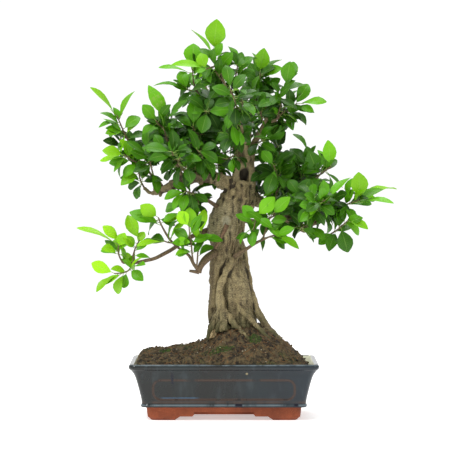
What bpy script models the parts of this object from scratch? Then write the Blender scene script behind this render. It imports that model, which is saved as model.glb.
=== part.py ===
"""A fig bonsai in a glazed tray: pot, soil, moss, trunk, limbs and leafy sprays.

The drawing is in millimetres in the pot's own frame: the pot's middle is at x = y = 0, the
table is at z = 0 and the front of the tree looks towards -Y.  One empty, the stand, scales
that drawing to metres and sets it down so that the whole object is centred on the origin.
"""
import math
import random

import bmesh
import bpy
from mathutils import Matrix, Vector
from mathutils.bvhtree import BVHTree

# ---------------------------------------------------------------- driving dimensions, mm
MM = 0.001
STAND_X = -22.6            # the crown leans to the right, so the pot stands left of centre
STAND_Y = -10.9
GAP = 0.3                  # clearance between pieces that touch

RIM_HALF_X = 125.0         # the tray is 250 mm wide and 184 mm deep over its rim
RIM_HALF_Y = 92.0
CORNER_R = 9.0
TABLE_Z = -4.0             # height of the table in this drawing
FLOOR_Z = 10.0             # inside floor of the tray
SEAT_Z = 3.0               # underside of the tray between its feet
LIP_Z = 67.5               # where the inner wall meets the rounded lip
FLOOR_HALF_X = 98.0
LIP_HALF_X = 116.5
DRAIN_X = 50.0
DRAIN_R = 7.0

PANEL_DEPTH = 1.3
PANEL_LOW_Z = 24.0
PANEL_TOP_Z = 50.0
PANEL_R = 10.0
PANEL_INSET = 19.0         # from the tray's end to the end of a panel
PANEL_CUTTER = 6.0         # thickness of the plate that cuts a panel

# Each gap between two feet: (turn, half gap on the floor, half flat, half notch).
FOOT_GAPS = [(0, 65.0, 58.0, 40.0), (90, 38.0, 31.0, 20.0),
             (180, 65.0, 58.0, 40.0), (270, 38.0, 31.0, 20.0)]
FOOT_WALL = 12.0           # how far the feet reach inwards from the tray's side
SEAT_STEP = 0.5            # how much higher the underside is in the middle
SLOT_LENGTH = 40.0         # how long the blocks are that cut the gaps
SLOT_DEPTH = 18.0          # how far they reach inwards
SKIRT_DEPTH = 6.0          # how far the middle of each side is set back, and how high
SKIRT_HEIGHT = 5.4
SKIRT_Z = 4.1
SKIRT_LESS = 1.2

NET_HALF = 12.0            # a drain net's half side, thickness, mesh and bar width
NET_THICK = 1.2
NET_CELL = 7.4
NET_BAR = 1.8

CROWN_DEPTH = 1.45         # how much deeper the crown grows than its routes are listed
LEAF_LIFT = 1.3            # height of a leaf solid's ridge over its flat underside
TWIG_R = 1.25              # a shoot's radius where it starts, and at its tip
TIP_R = 0.8
NODE_STEP = 5.5            # distance between leaves along a shoot

# The outside of the tray as (half width, height), from the foot to the top of the rim.
# The half depth is the half width less the difference of the two rim sizes.
TRAY_OUTSIDE = [
    (96.0, -4.0), (100.8, 0.5), (102.4, 13.2), (108.8, 13.8), (109.8, 16.0), (108.4, 18.4),
    (109.2, 25.0), (111.5, 35.0), (114.0, 45.0), (117.3, 55.5), (121.3, 62.0), (124.4, 65.0),
    (125.0, 67.8), (124.0, 70.4), (121.6, 71.2),
]
TRAY_INSIDE = [(118.6, 70.6), (LIP_HALF_X, LIP_Z), (FLOOR_HALF_X, FLOOR_Z)]

# The ridge of the soil from left to right, as (x, height).
SOIL_RIDGE = [
    (-116, 70), (-108, 80), (-95, 86), (-75, 88), (-57, 91), (-40, 92), (-24, 99),
    (-8, 112), (15, 122), (40, 122), (52, 118), (63, 110), (80, 97), (95, 84), (108, 75), (116, 68),
]

# Wood is listed as centrelines: each point is (x, y, z, radius).
TRUNK = {
    "main_root": [(23, 0, 80, 31), (21, 0, 108, 24), (19, 0, 136, 21.5), (17, 0, 163, 20),
                  (13, 0, 187, 18), (7, 0, 211, 18), (3, 0, 234, 23.5), (4, 0, 255, 25),
                  (11, 0, 277, 21), (22, 0, 295, 19), (26, 0, 310, 14)],
    "left_root": [(0, -4, 224, 17), (-4, -6, 211, 14), (-9, -8, 196, 11), (-12, -8, 180, 8),
                  (-13, -8, 163, 6), (-14, -6, 149, 6.5), (-16, -4, 137, 5.5), (-15, -4, 120, 6)],
    "crossing_root": [(22, -14, 218, 4.5), (8, -18, 198, 4.5), (-1, -20, 183, 4.3),
                      (-5, -22, 168, 4.3), (-5, -23, 150, 5.4), (-3, -24, 131, 7), (-1, -24, 112, 9)],
    "cut_root": [(-13, -12, 124, 4), (-14, -13, 117, 6.5), (-14, -13, 98, 8)],
    "hollow_right": [(34, -4, 298, 7), (37, -6, 315, 5), (37, -4, 326, 5), (33, 0, 333, 7)],
    "hollow_left": [(14, -6, 302, 7), (16, -6, 317, 4.5), (20, -4, 328, 4.5), (30, 0, 333, 7)],
    "hollow_back": [(25, 12, 304, 13), (27, 12, 320, 11), (31, 4, 333, 8)],
    "healed_scar": [(3, -18, 258, 9), (3, -25, 258, 7)],
    "toe_middle": [(0, -24, 141, 4), (11, -32, 125, 3.4), (23, -38, 113, 3), (34, -44, 100, 2.8)],
    "toe_right": [(20, -20, 143, 3.5), (33, -27, 129, 3.2), (46, -31, 116, 3), (60, -34, 100, 2.8)],
    "toe_left": [(-7, -24, 139, 3.4), (-16, -28, 122, 3), (-22, -30, 100, 2.8)],
}
AERIAL_ROOT = [(24, 4, 229, 3.4), (27, 4, 217, 3.3), (30, 2, 200, 2.7), (35, 0, 181, 2.4),
               (39, -2, 162, 2.7), (43, -4, 145, 3.5), (48, -6, 131, 4.3), (55, -8, 119, 4.9),
               (66, -8, 106, 5.1), (82, -6, 88, 4.6)]
LIMBS = {
    "left_limb": [
        [(12, 0, 303, 11), (-4, -4, 311, 9.5), (-22, -8, 316, 7.7), (-38, -10, 316, 7.3),
         (-54, -10, 312, 7.6), (-69, -8, 305, 7), (-83, -4, 299, 4.6), (-96, 0, 294, 3),
         (-107, 2, 302, 2)],
        [(-20, -8, 317, 4.9), (-24, -6, 335, 3.8), (-28, -4, 354, 3), (-38, -4, 373, 2)],
        [(-54, -10, 312, 3.8), (-62, -14, 330, 3), (-70, -16, 352, 2.4), (-80, -16, 375, 1.7)],
        [(-80, -4, 300, 2.8), (-94, 0, 316, 2.2), (-111, 4, 335, 1.8), (-124, 4, 357, 1.5)],
        [(-35, -9, 316, 4.1), (-48, 24, 332, 3), (-63, 50, 353, 2.2)],
        [(-43, -12, 314, 3.5), (-54, -36, 327, 2.7), (-62, -52, 338, 1.8)],
    ],
    "right_limb": [
        [(31, 2, 290, 9.5), (52, 8, 281, 7.5), (70, 12, 269, 6.5), (87, 12, 258, 6.2),
         (103, 8, 249, 6), (117, 4, 243, 5), (129, 0, 237, 3.8), (140, -2, 238, 2.5)],
        [(84, 12, 260, 3.5), (93, 10, 277, 2.7), (104, 6, 295, 2.2), (117, 2, 313, 1.6)],
        [(110, 6, 246, 3.3), (125, 2, 257, 2.6), (144, 0, 270, 2)],
        [(57, 8, 278, 3.3), (64, 2, 295, 2.4), (71, -4, 314, 1.8)],
        [(75, 12, 265, 3.5), (87, 42, 280, 2.8), (102, 66, 297, 2)],
        [(94, 10, 253, 3), (104, -20, 265, 2.4), (118, -44, 278, 1.8)],
    ],
    "crown_limbs": [
        [(34, 0, 338, 7), (40, -4, 360, 4.6), (47, -8, 374, 4.2), (54, -12, 386, 3.7),
         (59, -16, 398, 3), (66, -22, 412, 2)],
        [(54, -12, 386, 2.7), (70, -15, 393, 2)],
        [(33, 4, 338, 6), (33, 10, 368, 3.8), (37, 16, 393, 3), (41, 22, 416, 2.5), (46, 26, 441, 1.7)],
        [(30, -2, 336, 6), (25, -8, 366, 3.5), (17, -12, 395, 2.8), (7, -14, 424, 2.2),
         (-3, -14, 450, 1.6)],
        [(27, 2, 334, 6), (12, 6, 360, 3.5), (-3, 8, 382, 2.9), (-17, 8, 402, 2.3), (-30, 6, 421, 1.7)],
        [(31, 8, 338, 6), (32, 28, 365, 3.8), (36, 48, 390, 3), (42, 62, 415, 2.1)],
        [(28, 8, 336, 6), (17, 34, 366, 3.4), (3, 58, 391, 2.6), (-11, 76, 413, 1.8)],
        [(31, -4, 338, 5), (28, -24, 358, 3), (24, -46, 378, 2.3), (19, -64, 399, 1.7)],
    ],
}

# The y of limbs and sprays is listed for a shallow crown and is stretched by CROWN_DEPTH.
# Leafy pieces.  A stem is (x, y, z, radius) as above.  A shoot is its centreline as (x, y, z),
# then its leaves from the tip down, and how many more leaves fill it at random.
# A leaf is (angle in the front view, length with its stalk, width, turn of the blade):
# 0 degrees points right, 90 up, and a turn of 0 shows the whole blade to the front.
SPRAYS = {
    "crown_top_spray": ([], [
        ([(-3, -14, 450), (-11, -15, 470), (-14, -14, 484)],
         [(84, 41, 28, 0), (132, 45, 17, 75), (64, 22, 13, 25), (142, 28, 15, 50), (40, 22, 12, 65),
          (50, 28, 17, 15)], 2),
        ([(-9, -15, 464), (-17, -22, 462), (-24, -25, 459)],
         [(111, 22, 17, 0), (175, 49, 13, 40), (203, 20, 12, 45), (240, 22, 13, 30)], 1)]),
    "crown_left_spray": ([], [
        ([(-30, 6, 421), (-40, 2, 440), (-42, -4, 461)],
         [(88, 33, 26, 0), (171, 45, 11, 60), (60, 24, 14, 40), (30, 22, 13, 30)], 2),
        ([(-36, 4, 432), (-44, 0, 432), (-49, -4, 433)],
         [(114, 26, 17, 10), (174, 47, 14, 70), (165, 24, 12, 35), (220, 26, 14, 40)], 1)]),
    "crown_middle_spray": ([], [
        ([(7, -14, 424), (15, -12, 448), (19, -8, 470)],
         [(124, 25, 13, 50), (114, 20, 12, 40), (75, 24, 16, 20), (44, 31, 17, 35), (20, 26, 15, 40),
          (160, 25, 14, 30)], 3)]),
    "crown_back_top_spray": ([], [
        ([(46, 26, 441), (49, 14, 450), (48, 2, 456)],
         [(80, 32, 21, 0), (112, 30, 14, 60), (35, 35, 15, 65), (30, 22, 13, 50), (257, 23, 16, 10),
          (41, 27, 16, 30), (150, 25, 14, 40)], 2)]),
    "crown_right_spray": ([], [
        ([(66, -22, 412), (75, -27, 426), (84, -29, 440)],
         [(74, 30, 18, 0), (80, 32, 20, 10), (48, 26, 12, 65), (11, 34, 14, 60), (41, 24, 13, 50),
          (120, 20, 11, 40), (174, 38, 14, 65), (200, 26, 14, 30)], 2)]),
    "crown_low_right_spray": ([], [
        ([(70, -15, 393), (84, -18, 403), (97, -20, 414)],
         [(3, 38, 14, 45), (58, 33, 18, 0), (345, 29, 14, 45), (95, 26, 15, 30), (322, 27, 13, 55),
          (20, 22, 12, 40), (300, 24, 13, 40), (120, 24, 14, 30)], 2)]),
    "crown_front_right_spray": ([], [
        ([(41, -5, 362), (47, -14, 363), (52, -20, 365)],
         [(30, 33, 20, 0), (5, 26, 13, 60), (330, 24, 13, 30), (290, 28, 14, 20)], 2)]),
    "crown_front_left_spray": ([], [
        ([(-17, 8, 402), (-21, -8, 404), (-24, -24, 403)],
         [(7, 33, 17, 0), (175, 22, 14, 20), (256, 29, 20, 0), (78, 19, 14, 10), (300, 26, 16, 30),
          (130, 24, 14, 30)], 2)]),
    "crown_centre_spray": ([], [
        ([(22, -9, 376), (13, -26, 374), (6, -36, 372)],
         [(83, 29, 16, 10), (60, 38, 18, 0), (110, 26, 15, 30), (200, 24, 14, 40), (320, 24, 14, 30)],
         2)]),
    "crown_far_back_spray": ([], [
        ([(42, 62, 415), (47, 70, 434), (50, 72, 452)], [(70, 30, 17, 30), (120, 30, 17, 20)], 9)]),
    "crown_left_back_spray": ([], [
        ([(-11, 76, 413), (-20, 84, 430), (-27, 90, 444)], [(100, 30, 17, 30), (150, 30, 16, 30)], 9)]),
    "crown_front_spray": ([], [
        ([(19, -64, 399), (14, -74, 416), (8, -80, 432)],
         [(100, 30, 17, 10), (50, 28, 16, 25), (160, 28, 16, 25), (10, 26, 15, 40), (190, 26, 15, 30),
          (270, 26, 16, 20), (300, 24, 15, 30)], 4)]),
    "far_left_spray": ([], [
        ([(-124, 4, 357), (-132, 2, 372), (-138, 0, 386), (-143, -2, 398)],
         [(133, 50, 17, 65), (60, 43, 15, 58), (114, 22, 12, 40), (149, 32, 13, 60), (37, 27, 17, 20),
          (147, 33, 13, 65), (159, 28, 14, 45), (20, 24, 14, 40)], 2)]),
    "left_top_spray": ([], [
        ([(-80, -16, 375), (-76, -16, 386), (-73, -16, 394)],
         [(121, 50, 19, 0), (49, 38, 16, 55), (85, 24, 13, 40), (160, 26, 14, 40)], 2),
        ([(-78, -16, 380), (-86, -22, 386), (-90, -25, 391)],
         [(130, 27, 17, 10), (140, 24, 14, 30), (151, 24, 12, 55)], 1)]),
    "left_middle_spray": ([], [
        ([(-94, 0, 316), (-98, -12, 334), (-101, -18, 350)],
         [(90, 28, 18, 0), (147, 34, 14, 50), (156, 26, 15, 20), (40, 22, 13, 30), (200, 24, 14, 40)],
         3)]),
    "left_inner_spray": ([], [
        ([(-70, -16, 352), (-76, -26, 352), (-80, -32, 351)],
         [(120, 24, 14, 15), (180, 25, 14, 30), (230, 22, 13, 40), (20, 24, 14, 30)], 3)]),
    "left_edge_spray": ([], [
        ([(-111, 4, 335), (-122, -4, 338), (-133, -8, 346)],
         [(169, 29, 16, 20), (188, 36, 14, 60), (101, 24, 14, 20), (187, 30, 16, 25), (148, 24, 13, 40),
          (230, 26, 15, 20)], 2)]),
    "left_low_spray": ([], [
        ([(-107, 2, 302), (-112, 2, 312), (-114, 0, 322)],
         [(215, 28, 16, 20), (110, 25, 14, 30), (180, 26, 14, 40), (60, 24, 13, 30), (250, 22, 13, 40)],
         2)]),
    "left_front_spray": ([], [
        ([(-62, -52, 338), (-66, -60, 344), (-68, -66, 350)],
         [(172, 36, 16, 35), (88, 18, 13, 0), (190, 30, 15, 20), (150, 28, 15, 20), (60, 24, 14, 40),
          (230, 26, 14, 30)], 3)]),
    "left_back_spray": ([], [
        ([(-63, 50, 353), (-72, 60, 366), (-80, 66, 380)], [(110, 30, 16, 30), (160, 30, 16, 30)], 9)]),
    "left_centre_spray": ([], [
        ([(-24, -6, 335), (-30, -24, 346), (-35, -36, 352)],
         [(330, 30, 15, 20), (20, 24, 14, 40), (120, 24, 13, 30), (200, 25, 15, 20), (270, 24, 15, 20),
          (60, 24, 13, 50)], 3)]),
    "left_crown_spray": ([], [
        ([(-38, -4, 373), (-40, -12, 380), (-41, -18, 384)],
         [(86, 34, 21, 0), (150, 27, 15, 40), (20, 24, 13, 45), (200, 25, 15, 30)], 3)]),
    "right_inner_spray": ([], [
        ([(104, 6, 295), (110, 0, 318), (113, -4, 334), (114, -6, 348)],
         [(130, 33, 13, 58), (60, 18, 10, 55), (97, 20, 14, 10), (137, 32, 17, 20), (40, 22, 14, 30),
          (190, 26, 15, 30)], 3)]),
    "right_top_spray": ([], [
        ([(117, 2, 313), (130, -4, 321), (143, -10, 330)],
         [(97, 35, 19, 0), (120, 28, 15, 45), (84, 24, 18, 15), (66, 22, 12, 60), (40, 27, 16, 30),
          (114, 34, 22, 0), (160, 26, 15, 30)], 2)]),
    "right_far_spray": ([], [
        ([(144, 0, 270), (158, -5, 277), (170, -9, 282), (182, -12, 286)],
         [(94, 36, 24, 0), (15, 55, 15, 60), (358, 51, 14, 65), (22, 46, 15, 50), (0, 32, 16, 40),
          (60, 24, 15, 40), (320, 25, 14, 40), (110, 24, 15, 30)], 2)]),
    "right_low_spray": ([], [
        ([(140, -2, 238), (150, -10, 245), (158, -16, 252), (165, -20, 259)],
         [(336, 28, 14, 40), (317, 24, 13, 40), (20, 27, 15, 30), (286, 34, 22, 0), (70, 26, 15, 30),
          (250, 28, 17, 15), (219, 25, 15, 20)], 2)]),
    "right_front_spray": ([], [
        ([(118, -44, 278), (126, -50, 282), (133, -55, 287)],
         [(40, 44, 15, 55), (90, 27, 16, 20), (187, 28, 16, 10), (150, 27, 15, 30), (330, 25, 15, 30)],
         3)]),
    "right_dark_spray": ([], [
        ([(71, -4, 314), (70, -14, 322), (66, -24, 332)],
         [(129, 24, 15, 10), (265, 32, 17, 10), (250, 34, 18, 10), (60, 27, 16, 30), (200, 25, 15, 40),
          (20, 26, 15, 30)], 3)]),
    "right_centre_spray": ([], [
        ([(87, 10, 264), (95, -14, 280), (101, -28, 292)],
         [(127, 25, 16, 10), (60, 28, 17, 20), (20, 28, 16, 30), (180, 28, 16, 30), (215, 25, 15, 10),
          (300, 26, 15, 30), (340, 28, 16, 20)], 3)]),
    "right_back_spray": ([], [
        ([(102, 66, 297), (112, 74, 308), (122, 82, 320)], [(60, 30, 17, 20), (110, 30, 17, 20)], 9)]),
    "low_left_branch": ([
        [(-17, 6, 246, 4.4), (-38, 2, 239, 3.2), (-54, -6, 230, 2.7), (-69, -12, 220, 2.6),
         (-80, -14, 214, 2.6), (-92, -14, 208, 2.4), (-104, -14, 205, 2.3), (-120, -14, 202, 2),
         (-135, -14, 202, 1.4)]], [
        ([(-135, -14, 202), (-140, -13, 212), (-141, -12, 222), (-138, -12, 231)],
         [(138, 30, 15, 20), (163, 47, 14, 52), (66, 21, 16, 0), (37, 20, 11, 50), (171, 24, 13, 50),
          (317, 20, 11, 50)], 1),
        ([(-120, -14, 202), (-121, -12, 212), (-118, -9, 222), (-113, -8, 232)],
         [(115, 36, 18, 0), (60, 18, 12, 20), (130, 20, 11, 30), (30, 20, 11, 40), (350, 22, 11, 55)], 0),
        ([(-122, -14, 202), (-126, -16, 193), (-134, -18, 189), (-146, -18, 188)],
         [(157, 33, 17, 0), (220, 37, 13, 50), (213, 31, 12, 50), (259, 22, 14, 10), (321, 23, 15, 10)],
         0)]),
    "hanging_branch": ([
        [(-12, -12, 215, 6), (-23, -20, 208, 5.4), (-31, -25, 198, 4), (-33, -26, 189, 3)],
        [(-32, -26, 190, 2.8), (-46, -26, 192, 1.6)],
        [(-32, -26, 191, 2.7), (-40, -28, 201, 2.3), (-47, -28, 213, 2), (-61, -28, 223, 1.7),
         (-72, -28, 234, 1.6), (-80, -28, 247, 1.4)]], [
        ([(-80, -28, 247), (-84, -28, 255), (-87, -28, 263)],
         [(145, 28, 20, 0), (175, 32, 13, 60), (161, 42, 18, 15), (158, 36, 13, 60)], 0),
        ([(-68, -28, 229), (-74, -32, 230), (-79, -34, 232)], [(190, 36, 13, 55), (51, 34, 13, 60)], 0),
        ([(-40, -28, 201), (-42, -31, 213), (-43, -35, 226), (-45, -38, 239), (-46, -40, 251)],
         [(123, 24, 18, 0), (90, 30, 18, 10), (58, 30, 15, 30), (150, 24, 15, 20), (20, 23, 14, 40),
          (167, 25, 13, 50), (200, 20, 12, 30), (45, 22, 12, 40)], 0),
        ([(-36, -27, 196), (-35, -30, 210), (-34, -32, 225), (-31, -34, 240)],
         [(81, 33, 15, 20), (120, 22, 13, 30), (30, 20, 12, 40), (160, 20, 12, 40)], 0)]),
    "front_branch": ([
        [(14, -14, 211, 3.2), (30, -24, 221, 2.4), (42, -30, 229, 2), (56, -36, 236, 1.5)]], [
        ([(56, -36, 236), (64, -38, 239), (71, -40, 240)],
         [(327, 33, 13, 40), (20, 26, 14, 30), (60, 24, 13, 30), (350, 25, 13, 45)], 0),
        ([(35, -27, 225), (38, -30, 237), (40, -34, 251), (43, -37, 265)],
         [(47, 34, 20, 0), (132, 25, 16, 10), (153, 27, 14, 40), (265, 24, 14, 20), (60, 22, 13, 40),
          (190, 22, 12, 40)], 0),
        ([(51, -34, 233), (55, -35, 246), (59, -36, 258), (63, -37, 267)],
         [(44, 33, 17, 15), (100, 24, 14, 40), (10, 24, 14, 30), (320, 22, 13, 40)], 0)]),
    "under_left_spray": ([
        [(-8, -6, 276, 3.4), (-23, -16, 286, 2.3), (-38, -24, 293, 1.8)]], [
        ([(-38, -24, 293), (-45, -28, 296), (-52, -31, 298)],
         [(238, 28, 13, 45), (200, 30, 15, 40), (255, 26, 15, 20), (150, 24, 14, 40), (280, 25, 14, 10),
          (330, 24, 13, 30), (220, 26, 14, 30)], 0)]),
    "under_right_spray": ([
        [(26, -4, 259, 4), (39, -7, 257, 3.2), (53, -9, 258, 2.6)]], [
        ([(53, -9, 258), (66, -11, 264), (76, -14, 272)],
         [(340, 25, 14, 30), (20, 25, 14, 30), (290, 25, 14, 20), (80, 24, 14, 40), (250, 24, 14, 30)],
         0)]),
}

# Cushions of moss on the soil: middle x, y, then half length and half width.
MOSS = {
    "moss_front": (-2, -58, 21, 9),
    "moss_trunk": (42, -44, 11, 8),
    "moss_left": (-78, -30, 9, 12),
    "moss_back": (-30, 42, 20, 12),
}

TRUNK_VOXEL = 2.6          # grain of the fused wood, and the share of its faces that is kept
TRUNK_KEEP = 0.10
WOOD_ROOM = 1.5            # clearance cut round the trunk for what grows from or lies against it
LEAN_NUDGES = (0, 14, -14, 28, -28, 42, -42, 56, -56)

MATERIALS = {
    "glaze": ((0.022, 0.030, 0.034), 0.16, 0.0),
    "soil": ((0.055, 0.036, 0.020), 0.95, 0.0),
    "moss": ((0.060, 0.120, 0.020), 0.90, 0.0),
    "plastic": ((0.020, 0.080, 0.030), 0.50, 0.0),
    "bark": ((0.170, 0.130, 0.080), 0.80, 0.0),
    "leaf": ((0.060, 0.250, 0.015), 0.35, 0.0),
}


# ------------------------------------------------------------------------------- helpers
def clear_scene():
    """Remove whatever the scene holds."""
    for old in list(bpy.data.objects):
        bpy.data.objects.remove(old, do_unlink=True)


def make_collection(name):
    """Return a new collection linked to the scene."""
    made = bpy.data.collections.new(name)
    bpy.context.scene.collection.children.link(made)
    return made


def make_material(name):
    """Return a Principled material from the table above."""
    colour, roughness, metallic = MATERIALS[name]
    made = bpy.data.materials.new(name)
    made.use_nodes = True
    shader = made.node_tree.nodes["Principled BSDF"]
    shader.inputs["Base Color"].default_value = (*colour, 1.0)
    shader.inputs["Roughness"].default_value = roughness
    shader.inputs["Metallic"].default_value = metallic
    return made


def add_mesh(name, bm, collection, material=None):
    """Turn a bmesh into an object on the stand."""
    mesh = bpy.data.meshes.new(name)
    bm.to_mesh(mesh)
    bm.free()
    made = bpy.data.objects.new(name, mesh)
    collection.objects.link(made)
    made.parent = STAND
    if material is not None:
        mesh.materials.append(material)
    if collection is CUTTERS:
        made.hide_render = True
        made.display_type = "WIRE"
    return made


def evaluated_mesh(thing):
    """Return a new mesh of an object as its modifiers leave it, in the drawing's frame."""
    bpy.context.view_layer.update()
    graph = bpy.context.evaluated_depsgraph_get()
    return bpy.data.meshes.new_from_object(thing.evaluated_get(graph))


def tree_of(mesh):
    """Return a search tree of a mesh's faces."""
    return BVHTree.FromPolygons(
        [corner.co.copy() for corner in mesh.vertices],
        [tuple(face.vertices) for face in mesh.polygons],
    )


def cut(target, cutter, operation="DIFFERENCE", use_self=False):
    """Add a Boolean modifier."""
    step = target.modifiers.new(operation.lower() + "_" + cutter.name, "BOOLEAN")
    step.operation = operation
    step.solver = "EXACT"
    step.use_self = use_self
    step.object = cutter


def settle(thing):
    """Replace an object's mesh by what its modifiers make of it."""
    finished = evaluated_mesh(thing)
    thing.modifiers.clear()
    thing.data = finished


def smooth_route(points, pieces):
    """Return a smooth line through the points: a Catmull-Rom spline in any dimension."""
    padded = [points[0], *points, points[-1]]
    route = []
    for first in range(len(points) - 1):
        p0, p1, p2, p3 = padded[first:first + 4]
        for step in range(pieces):
            t = step / pieces
            route.append([
                0.5 * (2 * b + (c - a) * t + (2 * a - 5 * b + 4 * c - d) * t * t
                       + (3 * b - a - 3 * c + d) * t ** 3)
                for a, b, c, d in zip(p0, p1, p2, p3)
            ])
    route.append(list(points[-1]))
    return route


def deepened(points):
    """Return a listed route of the crown at its real depth."""
    return [(x, y * CROWN_DEPTH, *rest) for x, y, *rest in points]


def tube(route, sides=6, grow=0.0):
    """Return a closed tapered tube along (x, y, z, radius) points, as a mesh."""
    line = bpy.data.curves.new("tube", "CURVE")
    line.dimensions = "3D"
    line.bevel_depth = 1.0
    line.bevel_resolution = (sides - 4) // 2
    line.use_fill_caps = True
    spline = line.splines.new("POLY")
    spline.points.add(len(route) - 1)
    for corner, (x, y, z, radius) in zip(spline.points, route):
        corner.co = (x, y, z, 1.0)
        corner.radius = radius + grow
    holder = bpy.data.objects.new("tube", line)
    CUTTERS.objects.link(holder)
    mesh = evaluated_mesh(holder)
    bpy.data.objects.remove(holder, do_unlink=True)
    bpy.data.curves.remove(line)
    bm = bmesh.new()
    bm.from_mesh(mesh)
    bpy.data.meshes.remove(mesh)
    bmesh.ops.remove_doubles(bm, verts=bm.verts, dist=1e-4)
    bmesh.ops.recalc_face_normals(bm, faces=bm.faces)
    return bm


def joined(parts):
    """Return one bmesh that holds every bmesh of a list."""
    whole = bmesh.new()
    for part in parts:
        loose = bpy.data.meshes.new("loose")
        part.to_mesh(loose)
        part.free()
        whole.from_mesh(loose)
        bpy.data.meshes.remove(loose)
    return whole


# ----------------------------------------------------------------------------------- pot
def rounded_block(half_x, half_y, low, high, corner, rings):
    """Return an upright block with rounded corners, then drawn on through (grow, z) rings."""
    bm = bmesh.new()
    bmesh.ops.create_cube(bm, size=1.0)
    bmesh.ops.scale(bm, vec=(2 * half_x, 2 * half_y, high - low), verts=bm.verts)
    bmesh.ops.translate(bm, vec=(0, 0, (low + high) / 2), verts=bm.verts)
    upright = [e for e in bm.edges if abs(e.verts[0].co.z - e.verts[1].co.z) > (high - low) / 2]
    bmesh.ops.bevel(bm, geom=upright, offset=corner, offset_type="OFFSET", segments=3,
                    profile=0.5, affect="EDGES", material=-1)
    bm.faces.ensure_lookup_table()
    lid = max(bm.faces, key=lambda face: face.calc_center_median().z)
    reach = half_x
    for next_x, next_z in rings:
        lid = bmesh.ops.extrude_discrete_faces(bm, faces=[lid])["faces"][0]
        for corner_point in lid.verts:
            place = corner_point.co
            place.x += (next_x - reach) * math.copysign(1.0, place.x)
            place.y += (next_x - reach) * math.copysign(1.0, place.y)
            place.z = next_z
        reach = next_x
    return bm


def plate(outline, thickness):
    """Return a flat plate of a closed outline, centred on its thickness along Z."""
    line = bpy.data.curves.new("plate", "CURVE")
    line.dimensions = "2D"
    line.fill_mode = "BOTH"
    line.extrude = thickness / 2
    spline = line.splines.new("POLY")
    spline.points.add(len(outline) - 1)
    spline.use_cyclic_u = True
    for corner, (x, y) in zip(spline.points, outline):
        corner.co = (x, y, 0.0, 1.0)
    holder = bpy.data.objects.new("plate", line)
    CUTTERS.objects.link(holder)
    mesh = evaluated_mesh(holder)
    bpy.data.objects.remove(holder, do_unlink=True)
    bpy.data.curves.remove(line)
    bm = bmesh.new()
    bm.from_mesh(mesh)
    bpy.data.meshes.remove(mesh)
    bmesh.ops.remove_doubles(bm, verts=bm.verts, dist=1e-4)
    bmesh.ops.recalc_face_normals(bm, faces=bm.faces)
    return bm


def rounded_outline(half_w, half_h, radius, steps=4):
    """Return the corners of a rounded rectangle."""
    outline = []
    for quadrant, (sx, sy) in enumerate([(1, 1), (-1, 1), (-1, -1), (1, -1)]):
        for step in range(steps + 1):
            turn = math.radians(90 * quadrant + 90 * step / steps)
            outline.append((sx * (half_w - radius) + radius * math.cos(turn),
                            sy * (half_h - radius) + radius * math.sin(turn)))
    return outline


def wall_half_x(height):
    """Return the tray's outer half width at a height, between the levels of its profile."""
    for (x0, z0), (x1, z1) in zip(TRAY_OUTSIDE, TRAY_OUTSIDE[1:]):
        if z0 <= height <= z1:
            return x0 + (x1 - x0) * (height - z0) / (z1 - z0)
    return RIM_HALF_X


def foot_outline(gap, flat, notch, seat):
    """Return half of what is cut away between two feet, mirrored into a closed outline."""
    right = [(gap, TABLE_Z - 2.0), (gap, TABLE_Z), (flat, seat - 1.9), (notch + 1.5, seat - 1.9), (notch, seat)]
    return right + [(-x, z) for x, z in reversed(right)]


def build_pot(material):
    """Build the tray: walls, rim, panels, drain holes and four corner feet."""
    depth_less = RIM_HALF_X - RIM_HALF_Y
    foot_x = TRAY_OUTSIDE[0][0]
    body = rounded_block(foot_x, foot_x - depth_less, TABLE_Z, TRAY_OUTSIDE[1][1], CORNER_R,
                         TRAY_OUTSIDE[2:] + TRAY_INSIDE)
    for corner in body.verts:
        if abs(corner.co.z - TRAY_OUTSIDE[1][1]) < 1e-6:
            grow = TRAY_OUTSIDE[1][0] - foot_x
            corner.co.x += math.copysign(grow, corner.co.x)
            corner.co.y += math.copysign(grow, corner.co.y)
    bmesh.ops.recalc_face_normals(body, faces=body.faces)
    pot = add_mesh("pot", body, PARTS, material)

    cutters = [*panel_cutters(), *foot_cutters(), *drain_cutters()]
    for number, shape in enumerate(cutters):
        cut(pot, add_mesh("pot_cutter_%d" % number, shape, CUTTERS))
    settle(pot)
    return pot


def block(size, middle):
    """Return a box of a size round a middle."""
    bm = bmesh.new()
    bmesh.ops.create_cube(bm, size=1.0)
    bmesh.ops.scale(bm, vec=size, verts=bm.verts)
    bmesh.ops.translate(bm, vec=middle, verts=bm.verts)
    return bm


def panel_cutters():
    """Return a tilted plate for the recessed panel of each side."""
    depth_less = RIM_HALF_X - RIM_HALF_Y
    middle = (PANEL_LOW_Z + PANEL_TOP_Z) / 2
    wall = wall_half_x(middle)
    slope = math.atan2(wall_half_x(PANEL_TOP_Z) - wall_half_x(PANEL_LOW_Z), PANEL_TOP_Z - PANEL_LOW_Z)
    half_high = (PANEL_TOP_Z - PANEL_LOW_Z) / 2 / math.cos(slope)
    cutters = []
    for side, turn in enumerate((0, 90, 180, 270)):
        across = wall if side % 2 else wall - depth_less
        along = (wall - depth_less if side % 2 else wall) - PANEL_INSET
        panel = plate(rounded_outline(along, half_high, PANEL_R), PANEL_CUTTER)
        lean = Matrix.Rotation(math.radians(90) - slope, 4, "X")
        place = Matrix.Translation((0, -(across + PANEL_CUTTER / 2 - PANEL_DEPTH), middle))
        bmesh.ops.transform(panel, verts=panel.verts,
                            matrix=Matrix.Rotation(math.radians(turn), 4, "Z") @ place @ lean)
        cutters.append(panel)
    return cutters


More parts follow.
